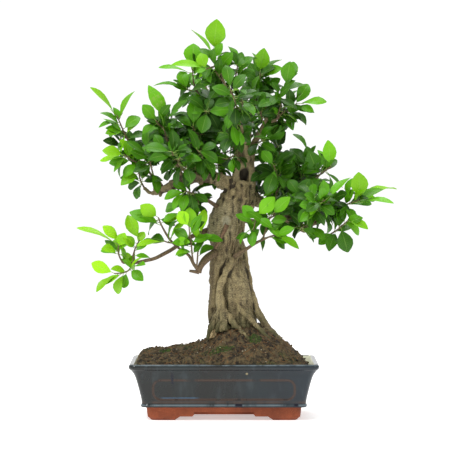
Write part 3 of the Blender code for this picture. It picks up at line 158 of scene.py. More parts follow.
SPRAYS = {
    "crown_top_spray": ([], [
        ([(-3, -14, 450), (-11, -15, 470), (-14, -14, 484)],
         [(84, 41, 28, 0), (132, 45, 17, 75), (64, 22, 13, 25), (142, 28, 15, 50), (40, 22, 12, 65),
          (50, 28, 17, 15)], 2),
        ([(-9, -15, 464), (-17, -22, 462), (-24, -25, 459)],
         [(111, 22, 17, 0), (175, 49, 13, 40), (203, 20, 12, 45), (240, 22, 13, 30)], 1)]),
    "crown_left_spray": ([], [
        ([(-30, 6, 421), (-40, 2, 440), (-42, -4, 461)],
         [(88, 33, 26, 0), (171, 45, 11, 60), (60, 24, 14, 40), (30, 22, 13, 30)], 2),
        ([(-36, 4, 432), (-44, 0, 432), (-49, -4, 433)],
         [(114, 26, 17, 10), (174, 47, 14, 70), (165, 24, 12, 35), (220, 26, 14, 40)], 1)]),
    "crown_middle_spray": ([], [
        ([(7, -14, 424), (15, -12, 448), (19, -8, 470)],
         [(124, 25, 13, 50), (114, 20, 12, 40), (75, 24, 16, 20), (44, 31, 17, 35), (20, 26, 15, 40),
          (160, 25, 14, 30)], 3)]),
    "crown_back_top_spray": ([], [
        ([(46, 26, 441), (49, 14, 450), (48, 2, 456)],
         [(80, 32, 21, 0), (112, 30, 14, 60), (35, 35, 15, 65), (30, 22, 13, 50), (257, 23, 16, 10),
          (41, 27, 16, 30), (150, 25, 14, 40)], 2)]),
    "crown_right_spray": ([], [
        ([(66, -22, 412), (75, -27, 426), (84, -29, 440)],
         [(74, 30, 18, 0), (80, 32, 20, 10), (48, 26, 12, 65), (11, 34, 14, 60), (41, 24, 13, 50),
          (120, 20, 11, 40), (174, 38, 14, 65), (200, 26, 14, 30)], 2)]),
    "crown_low_right_spray": ([], [
        ([(70, -15, 393), (84, -18, 403), (97, -20, 414)],
         [(3, 38, 14, 45), (58, 33, 18, 0), (345, 29, 14, 45), (95, 26, 15, 30), (322, 27, 13, 55),
          (20, 22, 12, 40), (300, 24, 13, 40), (120, 24, 14, 30)], 2)]),
    "crown_front_right_spray": ([], [
        ([(41, -5, 362), (47, -14, 363), (52, -20, 365)],
         [(30, 33, 20, 0), (5, 26, 13, 60), (330, 24, 13, 30), (290, 28, 14, 20)], 2)]),
    "crown_front_left_spray": ([], [
        ([(-17, 8, 402), (-21, -8, 404), (-24, -24, 403)],
         [(7, 33, 17, 0), (175, 22, 14, 20), (256, 29, 20, 0), (78, 19, 14, 10), (300, 26, 16, 30),
          (130, 24, 14, 30)], 2)]),
    "crown_centre_spray": ([], [
        ([(22, -9, 376), (13, -26, 374), (6, -36, 372)],
         [(83, 29, 16, 10), (60, 38, 18, 0), (110, 26, 15, 30), (200, 24, 14, 40), (320, 24, 14, 30)],
         2)]),
    "crown_far_back_spray": ([], [
        ([(42, 62, 415), (47, 70, 434), (50, 72, 452)], [(70, 30, 17, 30), (120, 30, 17, 20)], 9)]),
    "crown_left_back_spray": ([], [
        ([(-11, 76, 413), (-20, 84, 430), (-27, 90, 444)], [(100, 30, 17, 30), (150, 30, 16, 30)], 9)]),
    "crown_front_spray": ([], [
        ([(19, -64, 399), (14, -74, 416), (8, -80, 432)],
         [(100, 30, 17, 10), (50, 28, 16, 25), (160, 28, 16, 25), (10, 26, 15, 40), (190, 26, 15, 30),
          (270, 26, 16, 20), (300, 24, 15, 30)], 4)]),
    "far_left_spray": ([], [
        ([(-124, 4, 357), (-132, 2, 372), (-138, 0, 386), (-143, -2, 398)],
         [(133, 50, 17, 65), (60, 43, 15, 58), (114, 22, 12, 40), (149, 32, 13, 60), (37, 27, 17, 20),
          (147, 33, 13, 65), (159, 28, 14, 45), (20, 24, 14, 40)], 2)]),
    "left_top_spray": ([], [
        ([(-80, -16, 375), (-76, -16, 386), (-73, -16, 394)],
         [(121, 50, 19, 0), (49, 38, 16, 55), (85, 24, 13, 40), (160, 26, 14, 40)], 2),
        ([(-78, -16, 380), (-86, -22, 386), (-90, -25, 391)],
         [(130, 27, 17, 10), (140, 24, 14, 30), (151, 24, 12, 55)], 1)]),
    "left_middle_spray": ([], [
        ([(-94, 0, 316), (-98, -12, 334), (-101, -18, 350)],
         [(90, 28, 18, 0), (147, 34, 14, 50), (156, 26, 15, 20), (40, 22, 13, 30), (200, 24, 14, 40)],
         3)]),
    "left_inner_spray": ([], [
        ([(-70, -16, 352), (-76, -26, 352), (-80, -32, 351)],
         [(120, 24, 14, 15), (180, 25, 14, 30), (230, 22, 13, 40), (20, 24, 14, 30)], 3)]),
    "left_edge_spray": ([], [
        ([(-111, 4, 335), (-122, -4, 338), (-133, -8, 346)],
         [(169, 29, 16, 20), (188, 36, 14, 60), (101, 24, 14, 20), (187, 30, 16, 25), (148, 24, 13, 40),
          (230, 26, 15, 20)], 2)]),
    "left_low_spray": ([], [
        ([(-107, 2, 302), (-112, 2, 312), (-114, 0, 322)],
         [(215, 28, 16, 20), (110, 25, 14, 30), (180, 26, 14, 40), (60, 24, 13, 30), (250, 22, 13, 40)],
         2)]),
    "left_front_spray": ([], [
        ([(-62, -52, 338), (-66, -60, 344), (-68, -66, 350)],
         [(172, 36, 16, 35), (88, 18, 13, 0), (190, 30, 15, 20), (150, 28, 15, 20), (60, 24, 14, 40),
          (230, 26, 14, 30)], 3)]),
    "left_back_spray": ([], [
        ([(-63, 50, 353), (-72, 60, 366), (-80, 66, 380)], [(110, 30, 16, 30), (160, 30, 16, 30)], 9)]),
    "left_centre_spray": ([], [
        ([(-24, -6, 335), (-30, -24, 346), (-35, -36, 352)],
         [(330, 30, 15, 20), (20, 24, 14, 40), (120, 24, 13, 30), (200, 25, 15, 20), (270, 24, 15, 20),
          (60, 24, 13, 50)], 3)]),
    "left_crown_spray": ([], [
        ([(-38, -4, 373), (-40, -12, 380), (-41, -18, 384)],
         [(86, 34, 21, 0), (150, 27, 15, 40), (20, 24, 13, 45), (200, 25, 15, 30)], 3)]),
    "right_inner_spray": ([], [
        ([(104, 6, 295), (110, 0, 318), (113, -4, 334), (114, -6, 348)],
         [(130, 33, 13, 58), (60, 18, 10, 55), (97, 20, 14, 10), (137, 32, 17, 20), (40, 22, 14, 30),
          (190, 26, 15, 30)], 3)]),
    "right_top_spray": ([], [
        ([(117, 2, 313), (130, -4, 321), (143, -10, 330)],
         [(97, 35, 19, 0), (120, 28, 15, 45), (84, 24, 18, 15), (66, 22, 12, 60), (40, 27, 16, 30),
          (114, 34, 22, 0), (160, 26, 15, 30)], 2)]),
    "right_far_spray": ([], [
        ([(144, 0, 270), (158, -5, 277), (170, -9, 282), (182, -12, 286)],
         [(94, 36, 24, 0), (15, 55, 15, 60), (358, 51, 14, 65), (22, 46, 15, 50), (0, 32, 16, 40),
          (60, 24, 15, 40), (320, 25, 14, 40), (110, 24, 15, 30)], 2)]),
    "right_low_spray": ([], [
        ([(140, -2, 238), (150, -10, 245), (158, -16, 252), (165, -20, 259)],
         [(336, 28, 14, 40), (317, 24, 13, 40), (20, 27, 15, 30), (286, 34, 22, 0), (70, 26, 15, 30),
          (250, 28, 17, 15), (219, 25, 15, 20)], 2)]),
    "right_front_spray": ([], [
        ([(118, -44, 278), (126, -50, 282), (133, -55, 287)],
         [(40, 44, 15, 55), (90, 27, 16, 20), (187, 28, 16, 10), (150, 27, 15, 30), (330, 25, 15, 30)],
         3)]),
    "right_dark_spray": ([], [
        ([(71, -4, 314), (70, -14, 322), (66, -24, 332)],
         [(129, 24, 15, 10), (265, 32, 17, 10), (250, 34, 18, 10), (60, 27, 16, 30), (200, 25, 15, 40),
          (20, 26, 15, 30)], 3)]),
    "right_centre_spray": ([], [
        ([(87, 10, 264), (95, -14, 280), (101, -28, 292)],
         [(127, 25, 16, 10), (60, 28, 17, 20), (20, 28, 16, 30), (180, 28, 16, 30), (215, 25, 15, 10),
          (300, 26, 15, 30), (340, 28, 16, 20)], 3)]),
    "right_back_spray": ([], [
        ([(102, 66, 297), (112, 74, 308), (122, 82, 320)], [(60, 30, 17, 20), (110, 30, 17, 20)], 9)]),
    "low_left_branch": ([
        [(-17, 6, 246, 4.4), (-38, 2, 239, 3.2), (-54, -6, 230, 2.7), (-69, -12, 220, 2.6),
         (-80, -14, 214, 2.6), (-92, -14, 208, 2.4), (-104, -14, 205, 2.3), (-120, -14, 202, 2),
         (-135, -14, 202, 1.4)]], [
        ([(-135, -14, 202), (-140, -13, 212), (-141, -12, 222), (-138, -12, 231)],
         [(138, 30, 15, 20), (160, 60, 14, 62), (66, 21, 16, 0), (37, 20, 11, 50), (171, 24, 13, 50),
          (317, 20, 11, 50)], 1),
        ([(-120, -14, 202), (-121, -12, 212), (-118, -9, 222), (-113, -8, 232)],
         [(115, 36, 18, 0), (60, 18, 12, 20), (130, 20, 11, 30), (30, 20, 11, 40), (350, 22, 11, 55)], 0),
        ([(-122, -14, 202), (-126, -16, 193), (-134, -18, 189), (-146, -18, 188)],
         [(157, 33, 17, 0), (220, 37, 13, 50), (213, 31, 12, 50), (259, 22, 14, 10), (321, 23, 15, 10)],
         0)]),
    "hanging_branch": ([
        [(-12, -12, 215, 6), (-23, -20, 208, 5.4), (-31, -25, 198, 4), (-33, -26, 189, 3)],
        [(-32, -26, 190, 2.8), (-46, -26, 192, 1.6)],
        [(-32, -26, 191, 2.7), (-40, -28, 201, 2.3), (-47, -28, 213, 2), (-61, -28, 223, 1.7),
         (-72, -28, 234, 1.6), (-80, -28, 247, 1.4)]], [
        ([(-80, -28, 247), (-84, -28, 255), (-87, -28, 263)],
         [(145, 28, 20, 0), (175, 32, 13, 60), (161, 42, 18, 15), (158, 36, 13, 60)], 0),
        ([(-68, -28, 229), (-74, -32, 230), (-79, -34, 232)], [(190, 36, 13, 55), (51, 34, 13, 60)], 0),
        ([(-40, -28, 201), (-42, -31, 213), (-43, -35, 226), (-45, -38, 239), (-46, -40, 251)],
         [(123, 24, 18, 0), (90, 30, 18, 10), (58, 30, 15, 30), (150, 24, 15, 20), (20, 23, 14, 40),
          (167, 25, 13, 50), (200, 20, 12, 30), (45, 22, 12, 40)], 0),
        ([(-36, -27, 196), (-35, -30, 210), (-34, -32, 225), (-31, -34, 240)],
         [(81, 33, 15, 20), (120, 22, 13, 30), (30, 20, 12, 40), (160, 20, 12, 40)], 0)]),
    "front_branch": ([
        [(14, -14, 211, 3.2), (30, -24, 221, 2.4), (42, -30, 229, 2), (56, -36, 236, 1.5)]], [
        ([(56, -36, 236), (64, -38, 239), (71, -40, 240)],
         [(327, 33, 13, 40), (20, 26, 14, 30), (60, 24, 13, 30), (350, 25, 13, 45)], 0),
        ([(35, -27, 225), (38, -30, 237), (40, -34, 251), (43, -37, 265)],
         [(47, 34, 20, 0), (132, 25, 16, 10), (153, 27, 14, 40), (265, 24, 14, 20), (60, 22, 13, 40),
          (190, 22, 12, 40)], 0),
        ([(51, -34, 233), (55, -35, 246), (59, -36, 258), (63, -37, 267)],
         [(44, 33, 17, 15), (100, 24, 14, 40), (10, 24, 14, 30), (320, 22, 13, 40)], 0)]),
    "under_left_spray": ([
        [(-8, -6, 276, 3.4), (-23, -16, 286, 2.3), (-38, -24, 293, 1.8)]], [
        ([(-38, -24, 293), (-45, -28, 296), (-52, -31, 298)],
         [(238, 28, 13, 45), (200, 30, 15, 40), (255, 26, 15, 20), (150, 24, 14, 40), (280, 25, 14, 10),
          (330, 24, 13, 30), (220, 26, 14, 30)], 0)]),
    "under_right_spray": ([
        [(26, -4, 259, 4), (39, -7, 257, 3.2), (53, -9, 258, 2.6)]], [
        ([(53, -9, 258), (66, -11, 264), (76, -14, 272)],
         [(340, 25, 14, 30), (20, 25, 14, 30), (290, 25, 14, 20), (80, 24, 14, 40), (250, 24, 14, 30)],
         0)]),
}
# How young each leafy piece looks: 0 is old and dark, 1 is fresh yellow-green.
AGES = {
    "crown_top_spray": 0.55, "crown_left_spray": 0.42, "crown_right_spray": 0.42,
    "crown_back_top_spray": 0.45, "crown_low_right_spray": 0.40, "crown_middle_spray": 0.35,
    "far_left_spray": 0.62, "left_edge_spray": 0.68, "left_low_spray": 0.40, "left_top_spray": 0.32,
    "right_far_spray": 0.62, "right_low_spray": 0.50, "right_top_spray": 0.40,
    "right_front_spray": 0.50, "low_left_branch": 0.80, "hanging_branch": 0.62,
    "front_branch": 0.52, "under_left_spray": 0.45,
}
PLAIN_AGE = 0.26
LISTED_REACH = 1.04        # listed leaves are as long as they look; bending hides some of it

# A dead twig that hangs from the healed scar as (x, z, radius), and knobs on the limbs and trunk.
STUB = [(4, 253, 3.6), (1, 246, 2.8), (-3, 238, 2.3), (-8, 229, 2.1), (-12, 221, 1.9)]
WARTS = [(-31, -11, 309, 3.2), (-46, -15, 320, 3.4), (-60, -16, 304, 3.4), (-70, -13, 298, 3.2),
         (-84, -6, 292, 2.8), (-92, -2, 300, 2.6), (30, -16, 288, 3.4), (12, -22, 296, 3.2),
         (38, -8, 276, 3.0)]
# Where short leafy twigs fill the inside of the crown.
INNER = [(-22, 16, 366), (-6, 26, 348), (-36, 20, 352), (-10, -8, 378), (-44, 8, 374), (4, 40, 372),
         (-26, 36, 394), (64, 22, 352), (74, 10, 336), (-58, 24, 356), (-14, 8, 392), (52, 34, 380),
         (-70, -6, 340), (92, 26, 300), (70, -10, 296), (-2, -4, 340), (-16, -8, 334), (-30, -6, 332),
         (118, -4, 262), (104, -10, 250), (126, 2, 272), (-50, -10, 282), (-34, -8, 290), (44, 10, 300)]


# ------------------------------------------------------------------------------ shader sums
class Signal:
    """The output of a shader node, on which Python's own arithmetic adds Math nodes."""

    def __init__(self, graph: "Graph", socket: bpy.types.NodeSocket) -> None:
        """Keep the graph and the socket."""
        self.graph = graph
        self.socket = socket

    def _math(self, operation: str, *values: Any) -> "Signal":
        """Return a Math node of some values."""
        return self.graph.node("ShaderNodeMath", values, operation=operation)

    def __add__(self, other: Any) -> "Signal":
        """Return the sum."""
        return self._math("ADD", self, other)

    __radd__ = __add__

    def __sub__(self, other: Any) -> "Signal":
        """Return the difference."""
        return self._math("SUBTRACT", self, other)

    def __rsub__(self, other: Any) -> "Signal":
        """Return a number less this."""
        return self._math("SUBTRACT", other, self)

    def __mul__(self, other: Any) -> "Signal":
        """Return the product."""
        return self._math("MULTIPLY", self, other)

    __rmul__ = __mul__

    def __pow__(self, other: Any) -> "Signal":
        """Return the power."""
        return self._math("POWER", self, other)

    def __abs__(self) -> "Signal":
        """Return the size without its sign."""
        return self._math("ABSOLUTE", self)

    def most(self, other: Any) -> "Signal":
        """Return the larger of two."""
        return self._math("MAXIMUM", self, other)

    def rise(self, low: float, high: float) -> "Signal":
        """Return 0 below low, 1 above high and a smooth step between them.

        Args:
            low: where the step starts.
            high: where it ends; it may lie below low, and the step then falls.

        Returns:
            The step.
        """
        if high < low:
            return 1.0 - self.rise(high, low)
        return self.graph.node("ShaderNodeMapRange", {"Value": self, "From Min": low, "From Max": high},
                               interpolation_type="SMOOTHSTEP")

    def band(self, start: float, full: float, fade: float, end: float) -> "Signal":
        """Return 1 from full to fade, sinking smoothly to 0 at start and end."""
        return self.rise(start, full) * self.rise(end, fade)


class Graph:
    """The node tree of a material or world, built up from expressions."""

    def __init__(self, name: str, world: bool = False) -> None:
        """Start a material or world that holds only its shader.

        Args:
            name: its name.
            world: whether it is a world.
        """
        self.owner = (bpy.data.worlds if world else bpy.data.materials).new(name)
        self.owner.use_nodes = True
        self.tree = self.owner.node_tree
        self.shader = self.tree.nodes["Background" if world else "Principled BSDF"]

    def node(self, kind: str, values: Any = (), output: Any = 0, stops: Sequence = (),
             **settings: Any) -> Signal:
        """Add a node.

        Args:
            kind: the node's type.
            values: its inputs in order, or by name or number in a dict.
            output: the name or number of the output that is returned.
            stops: (place, colour) stops of a ramp.
            settings: its other settings.

        Returns:
            The node's output.
        """
        made = self.tree.nodes.new(kind)
        for key, value in settings.items():
            setattr(made, key, value)
        for number, (place, colour) in enumerate(stops):
            elements = made.color_ramp.elements
            stop = elements[number] if number < 2 else elements.new(place)
            stop.position = place
            stop.color = colour
        pairs = values.items() if isinstance(values, dict) else enumerate(values)
        for key, value in pairs:
            if isinstance(value, Signal):
                self.tree.links.new(value.socket, made.inputs[key])
            else:
                made.inputs[key].default_value = value
        return Signal(self, made.outputs[output])

    def place(self) -> Signal:
        """Return the Object coordinates."""
        return self.node("ShaderNodeTexCoord", output="Object")

    def split(self, vector: Signal) -> tuple[Signal, Signal, Signal]:
        """Return the three parts of a vector."""
        parts = self.node("ShaderNodeSeparateXYZ", (vector,))
        return parts, Signal(self, parts.socket.node.outputs[1]), Signal(self, parts.socket.node.outputs[2])

    def stretched(self, vector: Signal, scale: tuple[float, float, float]) -> Signal:
        """Return a vector with each part multiplied."""
        return self.node("ShaderNodeVectorMath", (vector, scale), operation="MULTIPLY")

    def grain(self, vector: Signal, scale: float, detail: float = 4.0, rough: float = 0.55) -> Signal:
        """Return a noise from 0 to 1."""
        return self.node("ShaderNodeTexNoise", {"Vector": vector, "Scale": scale, "Detail": detail,
                                                "Roughness": rough}, output="Fac")

    def cells(self, vector: Signal, scale: float) -> Signal:
        """Return the distance to the middle of the nearest cell."""
        return self.node("ShaderNodeTexVoronoi", {"Vector": vector, "Scale": scale}, output="Distance")

    def mix(self, factor: Any, first: Any, second: Any, blend: str = "MIX") -> Signal:
        """Return two colours mixed by a factor."""
        return self.node("ShaderNodeMix", {0: factor, 6: first, 7: second}, output=2,
                         data_type="RGBA", blend_type=blend)

    def ramp(self, value: Signal, stops: Sequence) -> Signal:
        """Return a colour read from a ramp."""
        return self.node("ShaderNodeValToRGB", (value,), stops=stops)

    def near(self, vector: Signal, spot: Sequence[float], inner: float, outer: float) -> Signal:
        """Return 1 near a spot, falling to 0 away from it.

        Args:
            vector: the place on the surface.
            spot: the spot in millimetres in the drawing.
            inner: the distance in millimetres within which it is 1.
            outer: the distance in millimetres beyond which it is 0.

        Returns:
            The mask.
        """
        gap = self.node("ShaderNodeVectorMath", (vector, tuple(set_down(spot))), output="Value",
                        operation="DISTANCE")
        return gap.rise(outer * MM, inner * MM)

    def finish(self, **sockets: Any) -> Any:
        """Link or set the shader's sockets.

        Args:
            sockets: values by socket name, with _ for each space.

        Returns:
            The finished material or world.
        """
        for key, value in sockets.items():
            socket = self.shader.inputs[key.replace("_", " ")]
            if isinstance(value, Signal):
                self.tree.links.new(value.socket, socket)
            else:
                socket.default_value = value
        return self.owner

    def bump(self, height: Signal, depth_mm: float, strength: float = 1.0) -> Signal:
        """Return the normal of a height pattern."""
        return self.node("ShaderNodeBump", {"Strength": strength, "Distance": depth_mm * MM,
                                            "Height": height}, output="Normal")


def tone(red: int, green: int, blue: int) -> tuple[float, float, float, float]:
    """Return a display colour as a linear one.

    Args:
        red: its red, from 0 to 255, as the others.
        green: its green.
        blue: its blue.

    Returns:
        The colour with its alpha.
    """
    parts = [value / 255 for value in (red, green, blue)]
    linear = [v / 12.92 if v <= 0.04045 else ((v + 0.055) / 1.055) ** 2.4 for v in parts]
    return (*linear, 1.0)


def set_down(point: Sequence[float]) -> Vector:
    """Return a point of the drawing, in millimetres, as a place in metres."""
    return STAND + Vector(point[:3]) * MM


# --------------------------------------------------------------------------------- finishes
@dataclass(frozen=True)
class LeafFinish:
    """A fig leaf: waxy above, pale and dull below, with a light midrib."""

    name: str = "fig_leaf"
    old: tuple = tone(30, 70, 4)
    grown: tuple = tone(58, 112, 6)
    bright: tuple = tone(96, 168, 10)
    fresh: tuple = tone(150, 212, 22)
    below_old: tuple = tone(92, 132, 48)
    below_fresh: tuple = tone(136, 186, 60)
    rib: tuple = tone(150, 188, 84)
    deep: tuple = tone(60, 120, 30)

    def make(self) -> bpy.types.Material:
        """Build the material.

        Returns:
            The finished material.
        """
        g = Graph(self.name)
        facts = g.node("ShaderNodeAttribute", output="Color", attribute_name="leaf")
        age, lot, below = g.split(facts)
        across, along, _ = g.split(g.node("ShaderNodeUVMap", uv_map="blade"))
        place = g.place()
        cloud = g.grain(place, 90.0, 3.0)
        veins = g.node("ShaderNodeTexWave", {"Vector": g.node("ShaderNodeCombineXYZ", (
            along - abs(across - 0.5) * 0.45, 0.0, 0.0)), "Scale": 3.4, "Distortion": 0.6}, output="Fac")
        above = g.ramp(age + (cloud - 0.5) * 0.16, [
            (0.0, self.old), (1.0, self.fresh), (0.36, self.grown), (0.62, self.bright)])
        shaded = g.mix(lot.rise(0.0, 1.0) * 0.35, above, self.deep, "MULTIPLY")
        veined = g.mix(veins.rise(0.75, 1.0) * 0.07, shaded, self.rib)
        rib = abs(across - 0.5).rise(0.035, 0.012) * along.rise(0.97, 0.8)
        ribbed = g.mix(rib * 0.25, veined, self.rib)
        under = g.mix(age, self.below_old, self.below_fresh)
        under_rib = g.mix(rib * 0.7, under, self.rib)
        colour = g.mix(below, ribbed, under_rib)
        dull = 0.34 + below * 0.3 + cloud * 0.12
        height = veins * -0.25 - rib * 0.9 + g.grain(place, 700.0, 2.0) * 0.25
        return g.finish(Base_Color=colour, Roughness=dull, Normal=g.bump(height, 0.25, 0.6),
                        Specular_IOR_Level=0.22)


@dataclass(frozen=True)
class StalkFinish:
    """The pale green stalk of a leaf."""

    name: str = "leaf_stalk"
    young: tuple = tone(138, 168, 70)
    old: tuple = tone(110, 128, 62)

    def make(self) -> bpy.types.Material:
        """Build the material.

        Returns:
            The finished material.
        """
        g = Graph(self.name)
        place = g.place()
        colour = g.mix(g.grain(place, 60.0), self.young, self.old)
        return g.finish(Base_Color=colour, Roughness=0.5, Normal=g.bump(g.grain(place, 900.0), 0.1))


@dataclass(frozen=True)
class TwigFinish:
    """Young reddish-brown bark, greyer where it is thick, with light pores."""

    name: str = "twig_bark"
    red: tuple = tone(104, 78, 54)
    grey: tuple = tone(104, 92, 66)
    dark: tuple = tone(54, 44, 30)
    pore: tuple = tone(156, 138, 100)

    def make(self) -> bpy.types.Material:
        """Build the material.

        Returns:
            The finished material.
        """
        g = Graph(self.name)
        place = g.place()
        base = g.mix(g.grain(place, 45.0), self.red, self.grey)
        rough = g.grain(place, 520.0, 5.0)
        worn = g.mix(rough.rise(0.55, 0.38) * 0.75, base, self.dark)
        pores = g.cells(place, 620.0).rise(0.32, 0.14)
        colour = g.mix(pores * 0.5, worn, self.pore)
        return g.finish(Base_Color=colour, Roughness=0.8,
                        Normal=g.bump(rough + pores * 0.5, 0.5, 0.8))


@dataclass(frozen=True)
class BarkFinish:
    """Old fig bark: grey-brown with pale pores and rings, mossy at its foot."""

    name: str = "old_bark"
    pale: tuple = tone(146, 134, 98)
    mid: tuple = tone(112, 98, 68)
    dark: tuple = tone(66, 54, 34)
    pore: tuple = tone(190, 172, 120)
    limb: tuple = tone(88, 76, 58)
    moss: tuple = tone(58, 62, 26)
    cut_wood: tuple = tone(226, 200, 150)
    # painted shade colour for the inside of the hollow at the top of the trunk
    hollow: tuple = tone(34, 27, 18)
    ring_dark: tuple = tone(132, 124, 92)
    ring_pale: tuple = tone(168, 158, 124)
    # painted shade colour for the creases of the bark
    crease_shade: tuple = tone(40, 33, 20)
    healed: tuple = tone(160, 156, 132)
    smooth_at: tuple = (-8, -14, 258)
    cut_at: tuple = (-17, -16, 108)
    scar_at: tuple = (3, -32, 259)
    lip_at: tuple = (26, -2, 320)
    hollow_at: tuple = (26, 0, 320)

    def make(self) -> bpy.types.Material:
        """Build the material.

        Returns:
            The finished material.
        """
        g = Graph(self.name)
        place = g.place()
        x, _, z = g.split(place)
        z = z - STAND.z
        broad = g.grain(place, 55.0, 3.0)
        rough = g.grain(place, 560.0, 6.0, 0.62)
        base = g.mix(broad.rise(0.35, 0.65), self.mid, self.pale)
        side = abs(x - set_down((TRUNK_X, 0, 0)).x)
        limbs = side.rise(0.024, 0.040).most(z.rise(0.338, 0.352) * 0.7)
        base = g.mix(limbs * 0.85, base, self.limb)
        seamed = g.mix(rough.rise(0.55, 0.40) * 0.7, base, self.dark)
        pores = g.cells(place, 720.0).rise(0.36, 0.16)
        dotted = g.mix(pores * (1.0 - limbs * 0.5) * 0.8, seamed, self.pore)
        rings = g.node("ShaderNodeTexWave", {"Vector": place, "Scale": 105.0, "Distortion": 14.0,
                                             "Detail": 3.0, "Detail Scale": 1.2}, output="Fac",
                       bands_direction="Z")
        smooth = g.near(place, self.smooth_at, 15.0, 36.0)
        ringed = g.mix(smooth * 0.55, dotted, g.mix(rings, self.ring_dark, self.ring_pale))
        lined = g.mix(rings.rise(0.35, 0.05) * (1.0 - smooth * 0.5) * 0.3, ringed, self.dark)
        low = z.rise(0.150, 0.104) * g.grain(place, 60.0, 4.0).rise(0.38, 0.54)
        # Painted shade: the creases of the skin are darkened by how hollow the skin is there.
        crease_shade = g.node("ShaderNodeAttribute", output="Fac", attribute_name="crease_shade")
        lined = g.mix(crease_shade.rise(0.0, 0.05) * 0.85, lined, self.crease_shade)
        # Painted highlight: the ridges of the skin are lightened with the pore colour.
        lined = g.mix(crease_shade.rise(-0.01, -0.06) * 0.18, lined, self.pore)
        mossy = g.mix(low * 0.8, lined, self.moss)
        knob = g.near(place, self.cut_at, 8.0, 13.0) * rough.rise(0.34, 0.5)
        cut = g.mix(knob * 0.85, mossy, self.cut_wood)
        scar = g.near(place, self.scar_at, 6.0, 11.0)
        healed = g.mix(scar * 0.7, cut, self.healed)
        lip = g.near(place, self.lip_at, 13.0, 19.0)
        lipped = g.mix(lip * 0.5, healed, self.pale)
        # Painted shade darkens the hollow at the top of the trunk.
        hole = g.near(place, self.hollow_at, 8.0, 12.5)
        colour = g.mix(hole * 0.9, lipped, self.hollow)
        height = rough * 0.9 + pores * 0.45 + rings * (0.25 + smooth * 0.3) + broad * 0.6
        return g.finish(Base_Color=colour, Roughness=0.72 + rough * 0.2,
                        Normal=g.bump(height, 1.1, 0.75))


@dataclass(frozen=True)
class GlazeFinish:
    """Dark slate-blue glaze that runs, pools in blue and breaks brown over edges."""

    name: str = "slate_glaze"
    slate: tuple = tone(24, 25, 23)
    teal: tuple = tone(28, 36, 37)
    blue: tuple = tone(20, 33, 46)
    brown: tuple = tone(64, 44, 32)
    # painted highlight colour, laid along the bead and the lip
    glaze_highlight: tuple = tone(112, 126, 132)
    pool: tuple = tone(8, 12, 28)
    fleck: tuple = tone(150, 138, 104)
    run: tuple = tone(62, 72, 76)
    # painted highlight colour for the bottom border of the panels
    panel_highlight: tuple = tone(66, 112, 150)
    foot_band: tuple = (0.0179, 0.0196, 0.0200, 0.0236)
    bead_highlight_band: tuple = (0.0150, 0.0158, 0.0174, 0.0180)
    blot_band: tuple = (0.0137, 0.0146, 0.0180, 0.0186)
    drip_band: tuple = (0.040, 0.044, 0.058, 0.063)
    lip_highlight_band: tuple = (0.0690, 0.0697, 0.0706, 0.0712)
    fleck_at: tuple = (30, -RIM_HALF_Y + 6, 59)

    def make(self) -> bpy.types.Material:
        """Build the material.

        Returns:
            The finished material.
        """
        g = Graph(self.name)
        place = g.place()
        x, y, z = g.split(place)
        x = x - STAND.x
        y = y - STAND.y
        z = z - STAND.z
        runs = g.grain(g.stretched(place, (1.0, 1.0, 0.16)), 75.0, 5.0)
        cloud = g.grain(g.stretched(place, (1.0, 1.0, 0.5)), 16.0, 4.0)
        base = g.mix(cloud.rise(0.35, 0.65), self.slate, self.teal)
        base = g.mix(x.rise(-0.02, 0.125) * (0.25 + runs * 0.6), base, self.blue)
        base = g.mix(runs.rise(0.52, 0.70) * 0.30, base, self.run)
        front = (abs(y) - abs(x)).rise(-(SIDE_LESS + 0.1) * MM, -(SIDE_LESS - 0.1) * MM)
        wide = abs(x) * front + abs(y) * (1.0 - front)
        reach = front * (PANEL_HALF_X * MM) + (1.0 - front) * (PANEL_HALF_Y * MM)
        radius = PANEL_R * MM
        dx = (wide - reach + radius).most(0.0)
        dz = (abs(z - PANEL_MIDDLE_Z * MM) - (PANEL_HALF_Z * MM - radius)).most(0.0)
        edge = abs((dx * dx + dz * dz) ** 0.5 - radius)
        worn = edge.rise(0.0024, 0.0006) * g.grain(place, 60.0, 3.0).rise(0.25, 0.50)
        base = g.mix(worn * 0.8, base, self.brown)
        # Painted highlight: a thin bright line along the bottom border of the panels, left of the middle.
        panel_highlight = abs(z - 0.0262).rise(0.0010, 0.0004) * x.rise(-0.086, -0.078) * x.rise(-0.030, -0.040)
        base = g.mix(panel_highlight * runs.rise(0.3, 0.6) * 0.45, base, self.panel_highlight)
        base = g.mix(z.band(*self.foot_band) * runs.rise(0.35, 0.6) * 0.7, base, self.brown)
        # Painted highlight along the bead.
        base = g.mix(z.band(*self.bead_highlight_band) * runs.rise(0.30, 0.55) * 0.6, base, self.glaze_highlight)
        blots = abs(x - 0.0195).rise(0.0062, 0.0035).most(abs(x - 0.095).rise(0.0035, 0.0015))
        base = g.mix(blots * z.band(*self.blot_band), base, self.pool)
        # Painted highlight along the top of the lip.
        base = g.mix(z.band(*self.lip_highlight_band) * runs.rise(0.25, 0.6) * 0.6, base, self.glaze_highlight)
        drip = abs(x + 0.068).rise(0.0026, 0.0010) * z.band(*self.drip_band)
        base = g.mix(drip * g.grain(place, 140.0).rise(0.40, 0.50), base, self.pool)
        fleck = g.near(place, self.fleck_at, 1.0, 2.2)
        colour = g.mix(fleck * 0.8, base, self.fleck)
        rough = 0.10 + runs * 0.10 + worn * 0.15
        height = runs * 0.6 + g.grain(place, 220.0, 2.0) * 0.25
        return g.finish(Base_Color=colour, Roughness=rough, Normal=g.bump(height, 0.35, 0.35),
                        Specular_IOR_Level=0.4)


